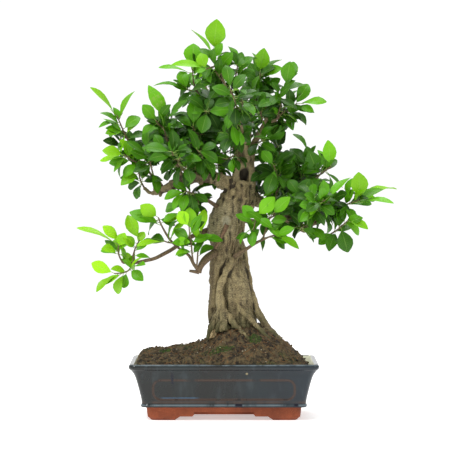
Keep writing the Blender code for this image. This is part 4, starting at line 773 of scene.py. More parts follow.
@dataclass(frozen=True)
class ClayFinish:
    """Unglazed terracotta with fine grog, darker where it was handled."""

    name: str = "bare_clay"
    light: tuple = tone(152, 78, 46)
    dark: tuple = tone(112, 54, 30)
    grog: tuple = tone(214, 150, 110)

    def make(self) -> bpy.types.Material:
        """Build the material.

        Returns:
            The finished material.
        """
        g = Graph(self.name)
        place = g.place()
        broad = g.grain(place, 28.0, 4.0)
        fine = g.grain(place, 600.0, 4.0)
        specks = g.cells(place, 480.0).rise(0.20, 0.08)
        colour = g.mix(broad.rise(0.35, 0.65), self.light, self.dark)
        colour = g.mix(fine.rise(0.6, 0.4) * 0.35, colour, self.dark)
        colour = g.mix(specks * 0.35, colour, self.grog)
        return g.finish(Base_Color=colour, Roughness=0.88, Normal=g.bump(fine + specks, 0.25, 0.6))


@dataclass(frozen=True)
class CreamFinish:
    """The pale cream glaze inside the tray, stained where soil lay against it."""

    name: str = "cream_inside"
    cream: tuple = tone(222, 222, 196)
    stain: tuple = tone(150, 132, 92)

    def make(self) -> bpy.types.Material:
        """Build the material.

        Returns:
            The finished material.
        """
        g = Graph(self.name)
        place = g.place()
        _, _, z = g.split(place)
        spots = g.grain(place, 110.0, 4.0).rise(0.55, 0.68)
        tide = z.rise(0.066, 0.056) * g.grain(place, 45.0, 3.0)
        colour = g.mix(spots * 0.35 + tide * 0.6, self.cream, self.stain)
        return g.finish(Base_Color=colour, Roughness=0.35 + spots * 0.2,
                        Normal=g.bump(spots, 0.15, 0.5), Coat_Weight=0.2)


@dataclass(frozen=True)
class SoilFinish:
    """Moist dark potting soil with orange-brown fibre and a little green."""

    name: str = "potting_soil"
    wet: tuple = tone(28, 22, 12)
    dry: tuple = tone(98, 84, 56)
    fibre: tuple = tone(128, 92, 54)
    green: tuple = tone(56, 70, 22)
    black: tuple = tone(24, 17, 11)

    def make(self) -> bpy.types.Material:
        """Build the material.

        Returns:
            The finished material.
        """
        g = Graph(self.name)
        place = g.place()
        lumps = g.grain(place, 130.0, 6.0, 0.65)
        fine = g.grain(place, 620.0, 5.0, 0.6)
        colour = g.mix(lumps.rise(0.38, 0.62), self.wet, self.dry)
        colour = g.mix(g.grain(place, 320.0, 3.0).rise(0.56, 0.66) * 0.6, colour, self.fibre)
        colour = g.mix(fine.rise(0.48, 0.34) * 0.8, colour, self.black)
        patch = g.grain(place, 26.0, 4.0).rise(0.56, 0.66)
        colour = g.mix(patch * fine.rise(0.40, 0.55) * 0.6, colour, self.green)
        return g.finish(Base_Color=colour, Roughness=0.92, Normal=g.bump(lumps + fine, 1.6, 0.9))


@dataclass(frozen=True)
class ScatterFinish:
    """Loose bits whose own colour comes from the piece, roughened a little."""

    name: str
    dark: tuple
    light: tuple
    roughness: float = 0.9

    def make(self) -> bpy.types.Material:
        """Build the material.

        Returns:
            The finished material.
        """
        g = Graph(self.name)
        place = g.place()
        lot = g.node("ShaderNodeAttribute", output="Fac", attribute_name="lot")
        colour = g.mix(lot, self.dark, self.light)
        fine = g.grain(place, 900.0, 3.0)
        shaded = g.mix(fine.rise(0.6, 0.35) * 0.4, colour, self.dark)
        return g.finish(Base_Color=shaded, Roughness=self.roughness, Normal=g.bump(fine, 0.3, 0.8))


@dataclass(frozen=True)
class NetFinish:
    """The green plastic net over a drain hole."""

    name: str = "drain_net"
    green: tuple = tone(28, 92, 52)
    soiled: tuple = tone(70, 52, 34)

    def make(self) -> bpy.types.Material:
        """Build the material.

        Returns:
            The finished material.
        """
        g = Graph(self.name)
        place = g.place()
        dirt = g.grain(place, 180.0, 4.0)
        colour = g.mix(dirt.rise(0.45, 0.7) * 0.6, self.green, self.soiled)
        return g.finish(Base_Color=colour, Roughness=0.5 + dirt * 0.3)


@dataclass(frozen=True)
class StageFinish:
    """The pale floor that the tree stands on."""

    name: str = "pale_floor"

    def make(self) -> bpy.types.Material:
        """Build the material.

        Returns:
            The finished material.
        """
        g = Graph(self.name)
        return g.finish(Base_Color=(0.93, 0.93, 0.93, 1.0), Roughness=0.9, Specular_IOR_Level=0.1,
                        Emission_Color=(1.0, 1.0, 1.0, 1.0), Emission_Strength=0.45)


# ---------------------------------------------------------------------------- shared shaping
def smooth_route(points: Line, pieces: int) -> list[list[float]]:
    """Return a smooth line through points of any dimension.

    Args:
        points: the points it passes through.
        pieces: how many stretches each span is cut into.

    Returns:
        The points of the line.
    """
    padded = [points[0], *points, points[-1]]
    route = []
    for first in range(len(points) - 1):
        p0, p1, p2, p3 = padded[first:first + 4]
        for step in range(pieces):
            t = step / pieces
            route.append([
                0.5 * (2 * b + (c - a) * t + (2 * a - 5 * b + 4 * c - d) * t * t
                       + (3 * b - a - 3 * c + d) * t ** 3)
                for a, b, c, d in zip(p0, p1, p2, p3)
            ])
    route.append(list(points[-1]))
    return route


def deepened(points: Line) -> list[tuple[float, ...]]:
    """Return a listed route of the crown at its real depth."""
    return [(x, y * CROWN_DEPTH, *rest) for x, y, *rest in points]


def tubes(routes: Iterable[Line], sides: int) -> bmesh.types.BMesh:
    """Return closed tapered tubes along routes of (x, y, z, radius).

    Args:
        routes: the centrelines.
        sides: the number of sides, even and at least 4.

    Returns:
        One bmesh with every tube.
    """
    line = bpy.data.curves.new("routes", "CURVE")
    line.dimensions = "3D"
    line.bevel_depth = 1.0
    line.bevel_resolution = (sides - 4) // 2
    line.use_fill_caps = True
    for route in routes:
        spline = line.splines.new("POLY")
        spline.points.add(len(route) - 1)
        for corner, (x, y, z, radius) in zip(spline.points, route):
            corner.co = (x, y, z, 1.0)
            corner.radius = radius
    holder = bpy.data.objects.new("routes", line)
    bpy.context.scene.collection.objects.link(holder)
    bm = settled(holder)
    bpy.data.objects.remove(holder, do_unlink=True)
    bmesh.ops.remove_doubles(bm, verts=bm.verts, dist=1e-4)
    bmesh.ops.recalc_face_normals(bm, faces=bm.faces)
    return bm


def settled(thing: bpy.types.Object) -> bmesh.types.BMesh:
    """Return the mesh that an object's modifiers leave.

    Args:
        thing: a mesh or curve object.

    Returns:
        Its finished mesh as a bmesh.
    """
    bpy.context.view_layer.update()
    graph = bpy.context.evaluated_depsgraph_get()
    mesh = bpy.data.meshes.new_from_object(thing.evaluated_get(graph))
    bm = bmesh.new()
    bm.from_mesh(mesh)
    bpy.data.meshes.remove(mesh)
    return bm


def loose_object(name: str, bm: bmesh.types.BMesh) -> bpy.types.Object:
    """Return an object that holds a bmesh.

    Args:
        name: its name.
        bm: its shape, which is used up.

    Returns:
        The object, in the scene.
    """
    mesh = bpy.data.meshes.new(name)
    bm.to_mesh(mesh)
    bm.free()
    made = bpy.data.objects.new(name, mesh)
    bpy.context.scene.collection.objects.link(made)
    return made


def cut_by(body: bmesh.types.BMesh, cutters: Iterable[bmesh.types.BMesh]) -> bmesh.types.BMesh:
    """Return a closed body less some closed cutters.

    Args:
        body: the body, which is used up.
        cutters: what is cut away, used up too.

    Returns:
        What is left.
    """
    target = loose_object("cut_body", body)
    tools = [loose_object("cutter", cutter) for cutter in cutters]
    for tool in tools:
        step = target.modifiers.new("cut", "BOOLEAN")
        step.operation = "DIFFERENCE"
        step.solver = "EXACT"
        step.object = tool
    result = settled(target)
    for used in (target, *tools):
        bpy.data.objects.remove(used, do_unlink=True)
    return result


def drawn_in(x: float, y: float, half: float, corner: float) -> Vector:
    """Return a point drawn in to a rounded rectangle with the tray's proportions.

    Args:
        x: the point's place across.
        y: its place front to back.
        half: the rectangle's half width.
        corner: its corner radius.

    Returns:
        The point, moved where it lay outside a corner.
    """
    deep = half - SIDE_LESS
    over = Vector((max(0.0, abs(x) - (half - corner)), max(0.0, abs(y) - (deep - corner))))
    if over.length <= corner:
        return Vector((x, y))
    over *= corner / over.length
    return Vector((math.copysign(half - corner + over.x, x), math.copysign(deep - corner + over.y, y)))


class Slot(Enum):
    """The record's material slots."""

    GLAZE = "glaze"
    SOIL = "soil"
    MOSS = "moss"
    BARK = "bark"
    LEAF = "leaf"


def finish_piece(name: str, bm: bmesh.types.BMesh, materials: Sequence[bpy.types.Material],
                 slot: Slot, nodes: Sequence[str] = (), smooth_angle: float = 40.0,
                 ) -> bpy.types.Object:
    """Set a finished bmesh down in the frame as a piece.

    Args:
        name: the piece's name.
        bm: its shape in millimetres in the drawing, which is used up.
        materials: its materials in slot order.
        slot: the record's slot for its finish; not used.
        nodes: the CAD nodes that it stands for.
        smooth_angle: faces that meet at less than this, in degrees, are shaded smooth; 0 for none.

    Returns:
        The piece.
    """
    bmesh.ops.transform(bm, verts=bm.verts, matrix=Matrix.Translation(STAND) @ Matrix.Scale(MM, 4))
    if smooth_angle:
        limit = math.radians(smooth_angle)
        for face in bm.faces:
            face.smooth = True
        for edge in bm.edges:
            if len(edge.link_faces) == 2:
                edge.smooth = edge.calc_face_angle(0.0) < limit
    piece = loose_object(name, bm)
    for material in materials:
        piece.data.materials.append(material)
    if nodes:
        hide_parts(*nodes)
    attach(piece, "root")
    LOG.info("%-28s %6d faces", name, len(piece.data.polygons))
    return piece


# --------------------------------------------------------------------------------------- tray
@dataclass
class Tray:
    """The glazed tray with its panels, drain holes and corner feet, in millimetres."""

    corner_segments: int = 8
    plinth: float = 4.5            # height of the block that the wall is drawn up from
    wall_cell: float = 1.1         # step of the wall's grid where the panels are pressed in
    wall_top: float = 62.0         # where the rim starts
    border: float = 1.4            # width of a panel's sloping border
    foot_wall: float = 12.0        # how far the feet reach inwards from the tray's side
    seat_step: float = 0.5         # how much higher the underside is in the middle
    slot_length: float = 40.0      # how long the blocks are that cut the gaps
    slot_depth: float = 18.0       # how far they reach inwards
    arch: float = 1.9              # how far the ends of a gap hang below its middle
    skirt_depth: float = 6.0       # how far the middle of each side is set back, and how high
    skirt_height: float = 5.4
    skirt_z: float = 4.1
    skirt_less: float = 1.2
    glaze: GlazeFinish = field(default_factory=GlazeFinish)
    clay: ClayFinish = field(default_factory=ClayFinish)
    inside: CreamFinish = field(default_factory=CreamFinish)

    def profile(self) -> list[tuple[float, float]]:
        """Draw the outside profile, in fine steps where the panels are pressed in.

        Returns:
            Its (half width, height) points from the foot up.
        """
        low = TRAY_OUTSIDE[:6]
        curve = smooth_route(TRAY_OUTSIDE[5:], 12)[1:]
        fine = []
        for reach, height in curve:
            if height > (fine or low)[-1][1] + self.wall_cell or height > self.wall_top:
                fine.append((reach, height))
        return [*low, *fine]

    def body(self) -> bmesh.types.BMesh:
        """Draw a rounded block up and over through the profile.

        Returns:
            The walls and floor as one closed body.
        """
        foot_x = TRAY_OUTSIDE[0][0]
        bm = self.block((2 * foot_x, 2 * (foot_x - SIDE_LESS), self.plinth),
                        (0, 0, TABLE_Z + self.plinth / 2))
        upright = [e for e in bm.edges if abs(e.verts[0].co.z - e.verts[1].co.z) > self.plinth / 2]
        bmesh.ops.bevel(bm, geom=upright, offset=CORNER_R, offset_type="OFFSET",
                        segments=self.corner_segments, profile=0.5, affect="EDGES", material=-1)
        bm.faces.ensure_lookup_table()
        lid = max(bm.faces, key=lambda face: face.calc_center_median().z)
        self.spread(lid.verts, TRAY_OUTSIDE[1][0] - foot_x, TRAY_OUTSIDE[1][1])
        reach = TRAY_OUTSIDE[1][0]
        for next_x, next_z in self.profile()[2:] + TRAY_INSIDE:
            lid = bmesh.ops.extrude_discrete_faces(bm, faces=[lid])["faces"][0]
            self.spread(lid.verts, next_x - reach, next_z)
            reach = next_x
        self.press_panels(bm)
        bmesh.ops.recalc_face_normals(bm, faces=bm.faces)
        return bm

    def press_panels(self, bm: bmesh.types.BMesh) -> None:
        """Press a shallow panel with a rounded border into each side of the wall.

        Args:
            bm: the walls, which are changed.
        """
        low, top = TRAY_OUTSIDE[5][1], TRAY_OUTSIDE[9][1]
        longest = [e for e in bm.edges if e.calc_length() > 60 and all(
            self.wall_at(v.co.z) - 4 < max(abs(v.co.x), abs(v.co.y) + SIDE_LESS)
            and low - 0.5 < v.co.z < top + 1 for v in e.verts)]
        for deep, length in ((False, 216), (True, 150)):
            edges = [e for e in longest if (abs(e.verts[0].co.x - e.verts[1].co.x) < 1) == deep]
            bmesh.ops.subdivide_edges(bm, edges=edges, cuts=round(length / self.wall_cell),
                                      use_grid_fill=True)
        for point in bm.verts:
            x, y, z = point.co
            if abs(z - PANEL_MIDDLE_Z) >= PANEL_HALF_Z + 1:
                continue
            on_side = abs(x) > self.wall_at(z) - 0.6
            along, half = (abs(y), PANEL_HALF_Y) if on_side else (abs(x), PANEL_HALF_X)
            if not on_side and abs(y) < self.wall_at(z) - SIDE_LESS - 0.6:
                continue
            over = Vector((max(0.0, along - half + PANEL_R),
                           max(0.0, abs(z - PANEL_MIDDLE_Z) - PANEL_HALF_Z + PANEL_R)))
            inside = max(0.0, min(1.0, (PANEL_R - over.length) / self.border + 0.5))
            push = PANEL_DEPTH * inside * inside * (3 - 2 * inside)
            if on_side:
                point.co.x -= math.copysign(push, x)
            else:
                point.co.y -= math.copysign(push, y)

    @staticmethod
    def spread(ring: Iterable[bmesh.types.BMVert], by: float, height: float) -> None:
        """Move a ring of the wall.

        Args:
            ring: its points.
            by: how far it moves outwards.
            height: the height it moves to.
        """
        for corner in ring:
            corner.co.x += by * math.copysign(1.0, corner.co.x)
            corner.co.y += by * math.copysign(1.0, corner.co.y)
            corner.co.z = height

    @staticmethod
    def plate(outline: Line, thickness: float) -> bmesh.types.BMesh:
        """Return a flat plate, centred on its thickness along Z.

        Args:
            outline: its closed outline in the XY plane.
            thickness: its thickness.

        Returns:
            The plate.
        """
        bm = bmesh.new()
        ring = [bm.verts.new((x, y, -thickness / 2)) for x, y in outline]
        made = bmesh.ops.extrude_face_region(bm, geom=[bm.faces.new(ring)])
        top = [item for item in made["geom"] if isinstance(item, bmesh.types.BMVert)]
        bmesh.ops.translate(bm, vec=(0, 0, thickness), verts=top)
        bmesh.ops.recalc_face_normals(bm, faces=bm.faces)
        return bm

    @staticmethod
    def block(size: Sequence[float], middle: Sequence[float]) -> bmesh.types.BMesh:
        """Return a box.

        Args:
            size: its sides.
            middle: where its middle lies.

        Returns:
            The box.
        """
        bm = bmesh.new()
        bmesh.ops.create_cube(bm, size=1.0)
        bmesh.ops.scale(bm, vec=size, verts=bm.verts)
        bmesh.ops.translate(bm, vec=middle, verts=bm.verts)
        return bm

    @staticmethod
    def wall_at(height: float) -> float:
        """Return the tray's outer half width.

        Args:
            height: the height in the drawing.

        Returns:
            The half width there.
        """
        for (x0, z0), (x1, z1) in zip(TRAY_OUTSIDE, TRAY_OUTSIDE[1:]):
            if z0 <= height <= z1:
                return x0 + (x1 - x0) * (height - z0) / (z1 - z0)
        return RIM_HALF_X

    def cutters(self) -> Iterator[bmesh.types.BMesh]:
        """Shape what is cut away.

        Yields:
            The hollow under the floor, the gaps between the feet and the drains.
        """
        foot_x = TRAY_OUTSIDE[0][0]
        foot_y = foot_x - SIDE_LESS
        yield self.block((2 * (foot_x - self.foot_wall), 2 * (foot_y - self.foot_wall), self.slot_depth),
                         (0, 0, SEAT_Z + self.seat_step - self.slot_depth / 2))
        upright = Matrix.Rotation(math.radians(90), 4, "X")
        end_z = SEAT_Z - self.arch
        for turn, gap, flat, notch in FOOT_GAPS:
            wall = foot_x if turn in (90, 270) else foot_y
            around = Matrix.Rotation(math.radians(turn), 4, "Z")
            right = [(gap, TABLE_Z - 2.0), (gap, TABLE_Z), (flat, end_z), (notch + 1.5, end_z),
                     (notch, SEAT_Z)]
            slot = self.plate(right + [(-x, z) for x, z in reversed(right)], self.slot_length)
            out = Matrix.Translation((0, self.slot_depth - self.slot_length / 2 - wall, 0))
            bmesh.ops.transform(slot, verts=slot.verts, matrix=around @ out @ upright)
            yield slot
            skirt = self.block((2 * notch - self.skirt_less, self.slot_length, self.skirt_height),
                               (0, self.skirt_depth - self.slot_length / 2 - wall, self.skirt_z))
            bmesh.ops.transform(skirt, verts=skirt.verts, matrix=around)
            yield skirt
        for side in (-1, 1):
            drain = bmesh.new()
            bmesh.ops.create_cone(drain, cap_ends=True, segments=32, radius1=DRAIN_R, radius2=DRAIN_R,
                                  depth=self.slot_length,
                                  matrix=Matrix.Translation((side * DRAIN_X, 0, FLOOR_Z)))
            yield drain

    def dress(self, bm: bmesh.types.BMesh) -> None:
        """Give each face its glaze, bare clay or cream.

        Args:
            bm: the tray, whose faces get their material numbers.
        """
        for face in bm.faces:
            spot = face.calc_center_median()
            wall = self.wall_at(min(spot.z, 71.0))
            depth = min(wall - abs(spot.x), wall - SIDE_LESS - abs(spot.y))
            on_floor = spot.z > FLOOR_Z - 0.1 and depth > 4.6
            if spot.z < CLAY_TOP_Z + 0.05 and not on_floor:
                face.material_index = 1
            elif depth > 4.0 and face.normal.z > -0.5 and (spot.z > 70.0 or depth > 5.0):
                face.material_index = 2

    def build(self) -> bpy.types.Object:
        """Build the tray.

        Returns:
            The piece.
        """
        bm = cut_by(self.body(), self.cutters())
        self.dress(bm)
        materials = [self.glaze.make(), self.clay.make(), self.inside.make()]
        return finish_piece("tray", bm, materials, Slot.GLAZE, ["pot"], 38.0)


# --------------------------------------------------------------------------------------- soil
@dataclass
class Ground:
    """The mound of soil with its crumbs, grit, fibres and moss."""

    cell: float = 1.5
    half: float = LIP_HALF_X - 1.4
    base_z: float = 30.0
    edge_z: float = 66.0           # height of the soil along the walls
    reach_y: float = 83.0          # where it meets the front and back walls
    end_sink: float = 7.0          # how far it has sunk at the right end
    end_heap: float = 5.5          # how far it is heaped at the left end
    shoots: int = 420
    crumbs: int = 1500
    grit: int = 230
    fibres: int = 520
    seed: int = 4
    soil: SoilFinish = field(default_factory=SoilFinish)

    @staticmethod
    def ridge(x: float) -> float:
        """Return the height of the mound's ridge.

        Args:
            x: the place across the tray.

        Returns:
            The ridge's height there.
        """
        if x <= SOIL_RIDGE[0][0]:
            return float(SOIL_RIDGE[0][1])
        for (x0, z0), (x1, z1) in zip(SOIL_RIDGE, SOIL_RIDGE[1:]):
            if x <= x1:
                return z0 + (z1 - z0) * (x - x0) / (x1 - x0)
        return float(SOIL_RIDGE[-1][1])

    def height(self, x: float, y: float) -> float:
        """Return the height of the soil, lumps included.

        Args:
            x: the place across the tray.
            y: the place front to back.

        Returns:
            The height there.
        """
        across = min(1.0, abs(y) / self.reach_y)
        hump = (self.ridge(x) - self.edge_z) * (1.0 - across ** 1.7)
        wave = 0.9 * math.sin(x * 0.19 + y * 0.11) * math.cos(y * 0.17 - x * 0.05)
        spot = Vector((x, y, 3.0))
        lumps = 3.6 * noise.noise(spot * 0.10) + 2.6 * noise.noise(spot * 0.24)
        grains = 1.1 * noise.noise(spot * 0.6)
        sink = self.end_sink * max(0.0, min(1.0, (x - 98.0) / 14.0))
        rim = min(1.0, (LIP_HALF_X - abs(x)) / 8.0 + 0.2, (self.reach_y - abs(y)) / 6.0 + 0.2)
        heap = self.end_heap * max(0.0, min(1.0, (-98.0 - x) / 12.0))
        return self.edge_z + hump + wave + (lumps + grains) * max(0.0, rim) - sink + heap

    def mound(self) -> bmesh.types.BMesh:
        """Shape the soil.

        Returns:
            The soil as one closed body.
        """
        deep = self.half - SIDE_LESS
        bm = bmesh.new()
        bmesh.ops.create_grid(bm, x_segments=int(2 * self.half / self.cell),
                              y_segments=int(2 * deep / self.cell), size=1.0)
        for point in bm.verts:
            spot = drawn_in(point.co.x * self.half, point.co.y * deep, self.half, CORNER_R + 1.0)
            point.co = (spot.x, spot.y, 0.0)
        top = list(bm.verts)
        made = bmesh.ops.extrude_face_region(bm, geom=bm.faces[:])
        base = [item for item in made["geom"] if isinstance(item, bmesh.types.BMVert)]
        for point in base:
            point.co = (point.co.x * 0.9, point.co.y * 0.88, self.base_z)
        for point in top:
            point.co.z = self.height(point.co.x, point.co.y)
        bmesh.ops.recalc_face_normals(bm, faces=bm.faces)
        return bm

    def spots(self, count: int, rng: random.Random, half: float = 112.0) -> Iterator[Vector]:
        """Yield random places on the soil.

        Args:
            count: how many.
            rng: the source of the places.
            half: how far out they lie.

        Yields:
            The places.
        """
        deep = half - SIDE_LESS
        for _ in range(count):
            x = rng.uniform(-half, half)
            y = rng.uniform(-deep, deep)
            yield Vector((x, y, self.height(x, y)))

    @staticmethod
    def shade(bm: bmesh.types.BMesh, lot: Any, first: int, value: float) -> None:
        """Give the faces of a bit their own shade.

        Args:
            bm: the bits so far.
            lot: the layer that holds the shades.
            first: the number of the bit's first face.
            value: its shade, from 0 to 1.
        """
        bm.faces.ensure_lookup_table()
        for face in bm.faces[first:]:
            face[lot] = value

    def scatter(self, name: str, count: int, sizes: tuple[float, float], flat: float,
                finish: ScatterFinish, seed: int) -> bpy.types.Object:
        """Return small bits strewn over the soil.

        Args:
            name: the piece's name.
            count: how many bits.
            sizes: the smallest and largest radius.
            flat: how flat a bit is, 1 for round.
            finish: what the bits look like.
            seed: what makes this scatter its own.

        Returns:
            The piece.
        """
        rng = random.Random(seed)
        bm = bmesh.new()
        lot = bm.faces.layers.float.new("lot")
        for spot in self.spots(count, rng):
            radius = sizes[0] + (sizes[1] - sizes[0]) * rng.random() ** 2.2
            turn = (Matrix.Rotation(rng.uniform(0, 6.28), 4, "Z")
                    @ Matrix.Rotation(rng.uniform(-0.7, 0.7), 4, "X"))
            size = Matrix.Diagonal((radius, radius * rng.uniform(0.6, 1.0), radius * flat, 1.0))
            place = Matrix.Translation(spot + Vector((0, 0, radius * 0.25)))
            old = len(bm.faces)
            made = bmesh.ops.create_icosphere(bm, subdivisions=1, radius=1.0,
                                              matrix=place @ turn @ size)
            for point in made["verts"]:
                point.co += (point.co - spot) * rng.uniform(-0.22, 0.22)
            self.shade(bm, lot, old, rng.random())
        return finish_piece(name, bm, [finish.make()], Slot.SOIL, smooth_angle=0.0)

    def strands(self) -> bpy.types.Object:
        """Lay fine root fibres and needles on the soil.

        Returns:
            The piece.
        """
        rng = random.Random(self.seed + 2)
        routes = []
        for spot in self.spots(self.fibres, rng, 108.0):
            heading = rng.uniform(0, 6.28)
            length = rng.uniform(3.0, 13.0)
            bend = rng.uniform(-1.2, 1.2)
            thick = rng.uniform(0.14, 0.38)
            route = []
            x, y = spot.x, spot.y
            for step in range(5):
                lift = 0.35 + 1.3 * math.sin(step * 0.8) * rng.random() * 0.6
                route.append((x, y, self.height(x, y) + lift, thick))
                heading += bend / 4
                x += length / 4 * math.cos(heading)
                y += length / 4 * math.sin(heading)
            if abs(x) < 110 and abs(y) < 78:
                routes.append(route)
        bm = tubes(routes, 4)
        lot = bm.faces.layers.float.new("lot")
        for face in bm.faces:
            spot = face.calc_center_median()
            face[lot] = 0.5 + 0.5 * noise.noise(spot * 0.08)
        finish = ScatterFinish("root_fibre", tone(60, 44, 26), tone(160, 116, 70))
        return finish_piece("soil_fibres", bm, [finish.make()], Slot.SOIL)

    def moss(self, node: str, seed: int) -> bpy.types.Object:
        """Grow moss shoots over one of the frame's cushions.

        Args:
            node: the cushion.
            seed: what makes this moss its own.

        Returns:
            The piece.
        """
        rng = random.Random(seed)
        low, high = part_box(node)
        middle = (low + high) / 2 - STAND
        size = (high - low) / 2
        bm = bmesh.new()
        lot = bm.faces.layers.float.new("lot")
        for _ in range(self.shoots):
            turn = rng.uniform(0, 6.28)
            out = math.sqrt(rng.random()) * (0.8 + 0.3 * noise.noise(Vector((turn, seed, 0))))
            x = middle.x / MM + size.x / MM * out * math.cos(turn)
            y = middle.y / MM + size.y / MM * out * math.sin(turn)
            tall = rng.uniform(0.9, 2.4) * (1.15 - 0.7 * out)
            lean = Matrix.Rotation(rng.uniform(-0.5, 0.5), 4, "X") @ Matrix.Rotation(
                rng.uniform(-0.5, 0.5), 4, "Y")
            place = Matrix.Translation((x, y, self.height(x, y) + tall * 0.3))
            old = len(bm.faces)
            bmesh.ops.create_cone(bm, cap_ends=True, segments=5, radius1=rng.uniform(0.5, 0.9),
                                  radius2=0.18, depth=tall, matrix=place @ lean)
            self.shade(bm, lot, old, rng.random())
        finish = ScatterFinish("moss_shoots", tone(34, 48, 14), tone(84, 112, 34))
        return finish_piece(node + "_shoots", bm, [finish.make()], Slot.MOSS, [node])

    def build(self) -> None:
        """Build the soil and all that lies on it."""
        finish_piece("soil_mound", self.mound(), [self.soil.make()], Slot.SOIL, ["soil"], 60.0)
        self.scatter("soil_crumbs", self.crumbs, (0.5, 2.7), 0.7,
                     ScatterFinish("soil_crumb", tone(22, 17, 9), tone(112, 96, 68)), self.seed)
        self.scatter("soil_grit", self.grit, (0.3, 1.1), 0.8,
                     ScatterFinish("pale_grit", tone(120, 112, 92), tone(206, 196, 170), 0.6),
                     self.seed + 1)
        self.strands()
        for number, node in enumerate(("moss_front", "moss_trunk", "moss_left", "moss_back")):
            self.moss(node, 20 + number)


# --------------------------------------------------------------------------------------- wood
@dataclass
class Wood:
    """The trunk, its roots and its limbs as one skin of bark."""

    grain_mm: float = 1.15         # cell of the fused skin
    swell_mm: float = 1.5          # depth of the broad swellings, knobs, flutes and cracks
    knob_mm: float = 0.9
    flute_mm: float = 2.4
    crack_mm: float = 0.4
    crease_passes: int = 7         # how often the hollows are averaged with their neighbours
    fan_roots: int = 34
    rope_roots: int = 26
    bark: BarkFinish = field(default_factory=BarkFinish)

    def routes(self) -> list[Line]:
        """List the centrelines of old wood.

        Returns:
            Every one as a smooth route.
        """
        listed = [*TRUNK.values(), AERIAL_ROOT]
        for limb in LIMBS.values():
            listed += [deepened(route) for route in limb]
        return [smooth_route(route, 4) for route in listed]

    def skin(self) -> bmesh.types.BMesh:
        """Fuse and roughen the wood.

        Returns:
            Its skin.
        """
        body = tubes(self.routes(), 12)
        for x, y, z, radius in WARTS:
            depth = CROWN_DEPTH if abs(x - TRUNK_X) > 30 else 1.0
            bmesh.ops.create_icosphere(body, subdivisions=2, radius=radius,
                                       matrix=Matrix.Translation((x, y * depth, z)))
        holder = loose_object("wood", body)
        fuse = holder.modifiers.new("fuse", "REMESH")
        fuse.mode = "VOXEL"
        fuse.voxel_size = self.grain_mm
        soften = holder.modifiers.new("soften", "SMOOTH")
        soften.factor = 0.5
        soften.iterations = 3
        bm = settled(holder)
        bpy.data.objects.remove(holder, do_unlink=True)
        bm.normal_update()
        self.roughen(bm)
        bm.normal_update()
        self.mark_creases(bm)
        return bm

    def mark_creases(self, bm: bmesh.types.BMesh) -> None:
        """Store on each point how hollow the skin is around it, for the painted shade of its creases and
        the painted highlight of its ridges.

        Args:
            bm: the skin, which gets the values.
        """
        crease_shade = bm.verts.layers.float.new("crease_shade")
        around = [[edge.other_vert(point).index for edge in point.link_edges] for point in bm.verts]
        places = [point.co.copy() for point in bm.verts]
        hollow = []
        for point, near in zip(bm.verts, around):
            middle = sum((places[number] for number in near), Vector()) / len(near)
            hollow.append((middle - point.co).dot(point.normal))
        for _ in range(self.crease_passes):
            hollow = [(hollow[here] + sum(hollow[n] for n in near)) / (1 + len(near))
                      for here, near in enumerate(around)]
        for point, value in zip(bm.verts, hollow):
            point[crease_shade] = value

    def roughen(self, bm: bmesh.types.BMesh) -> None:
        """Push the skin in and out: broad swellings, knobs on the limbs and fine cracks.

        Args:
            bm: the skin, whose points are moved.
        """
        moves = []
        for point in bm.verts:
            spot = point.co
            limb = min(1.0, max(0.0, (abs(spot.x - TRUNK_X) - 28) / 14))
            high = min(1.0, max(0.0, (spot.z - 330) / 20))
            thin = max(limb, high)
            swell = noise.noise(spot * 0.055) * self.swell_mm * (1 - thin)
            neck = max(0.0, 1 - abs(spot.z - 305) / 28) * (1 - thin)
            bulb = max(0.0, 1 - math.hypot(spot.x - 24, (spot.z - 170) * 0.6) / 26)
            lumpy = self.knob_mm + 0.9 * limb + 1.6 * neck
            knobs = noise.noise(spot * 0.16) * lumpy * (1 - 0.5 * high)
            flutes = noise.noise(Vector((spot.x * 0.24, spot.y * 0.24, spot.z * 0.035)))
            flutes *= self.flute_mm * (1 - thin) * (1 - bulb)
            cracks = noise.noise(spot * 0.6) * (self.crack_mm + 0.5 * neck)
            moves.append(point.normal * (swell + knobs + flutes + cracks))
        for point, move in zip(bm.verts, moves):
            point.co += move

    @staticmethod
    def laid_root(skin: BVHTree, rng: random.Random, start: tuple[float, float], drift: float,
                  low: float, thick: float, side: int) -> list[tuple[float, float, float, float]]:
        """Return the route of a thin root that runs down over the bark.

        Args:
            skin: the bark that it follows.
            rng: the source of its wander.
            start: its upper end as (x, z).
            drift: how far it moves sideways for each millimetre down.
            low: the height where it ends.
            thick: its radius.
            side: -1 on the front of the trunk, 1 on its back.

        Returns:
            The points of the route.
        """
        x, z = start
        route = []
        while z > low:
            hit = skin.ray_cast(Vector((x, side * 90, z)), Vector((0, -side, 0)))[0]
            if hit is None:
                break
            route.append((x, hit.y + side * thick * 0.4, z, thick))
            x += drift * 2.0 + rng.uniform(-0.5, 0.5)
            z -= 2.0
        return route

    def threads(self, skin: BVHTree) -> bmesh.types.BMesh:
        """Lay the thin roots: a fan at the foot and ropes round the waist of the trunk.

        Args:
            skin: the bark that they follow.

        Returns:
            All of them as one bmesh.
        """
        rng = random.Random(11)
        routes = []
        for number in range(self.fan_roots):
            x = -18 + 2.1 * number + rng.uniform(-1, 1)
            start = (x, rng.uniform(118, 150))
            drift = (x - 14) * 0.017 + rng.uniform(-0.2, 0.2)
            routes.append(self.laid_root(skin, rng, start, drift, 88, rng.uniform(0.5, 1.4),
                                         1 if number % 4 == 0 else -1))
        for number in range(self.rope_roots):
            start = (rng.uniform(-12, 28), rng.uniform(222, 300))
            routes.append(self.laid_root(skin, rng, start, rng.uniform(-0.55, 0.25),
                                         start[1] - rng.uniform(25, 70), rng.uniform(0.7, 1.9),
                                         1 if number % 3 == 0 else -1))
        return tubes([smooth_route(route, 2) for route in routes if len(route) > 5], 6)

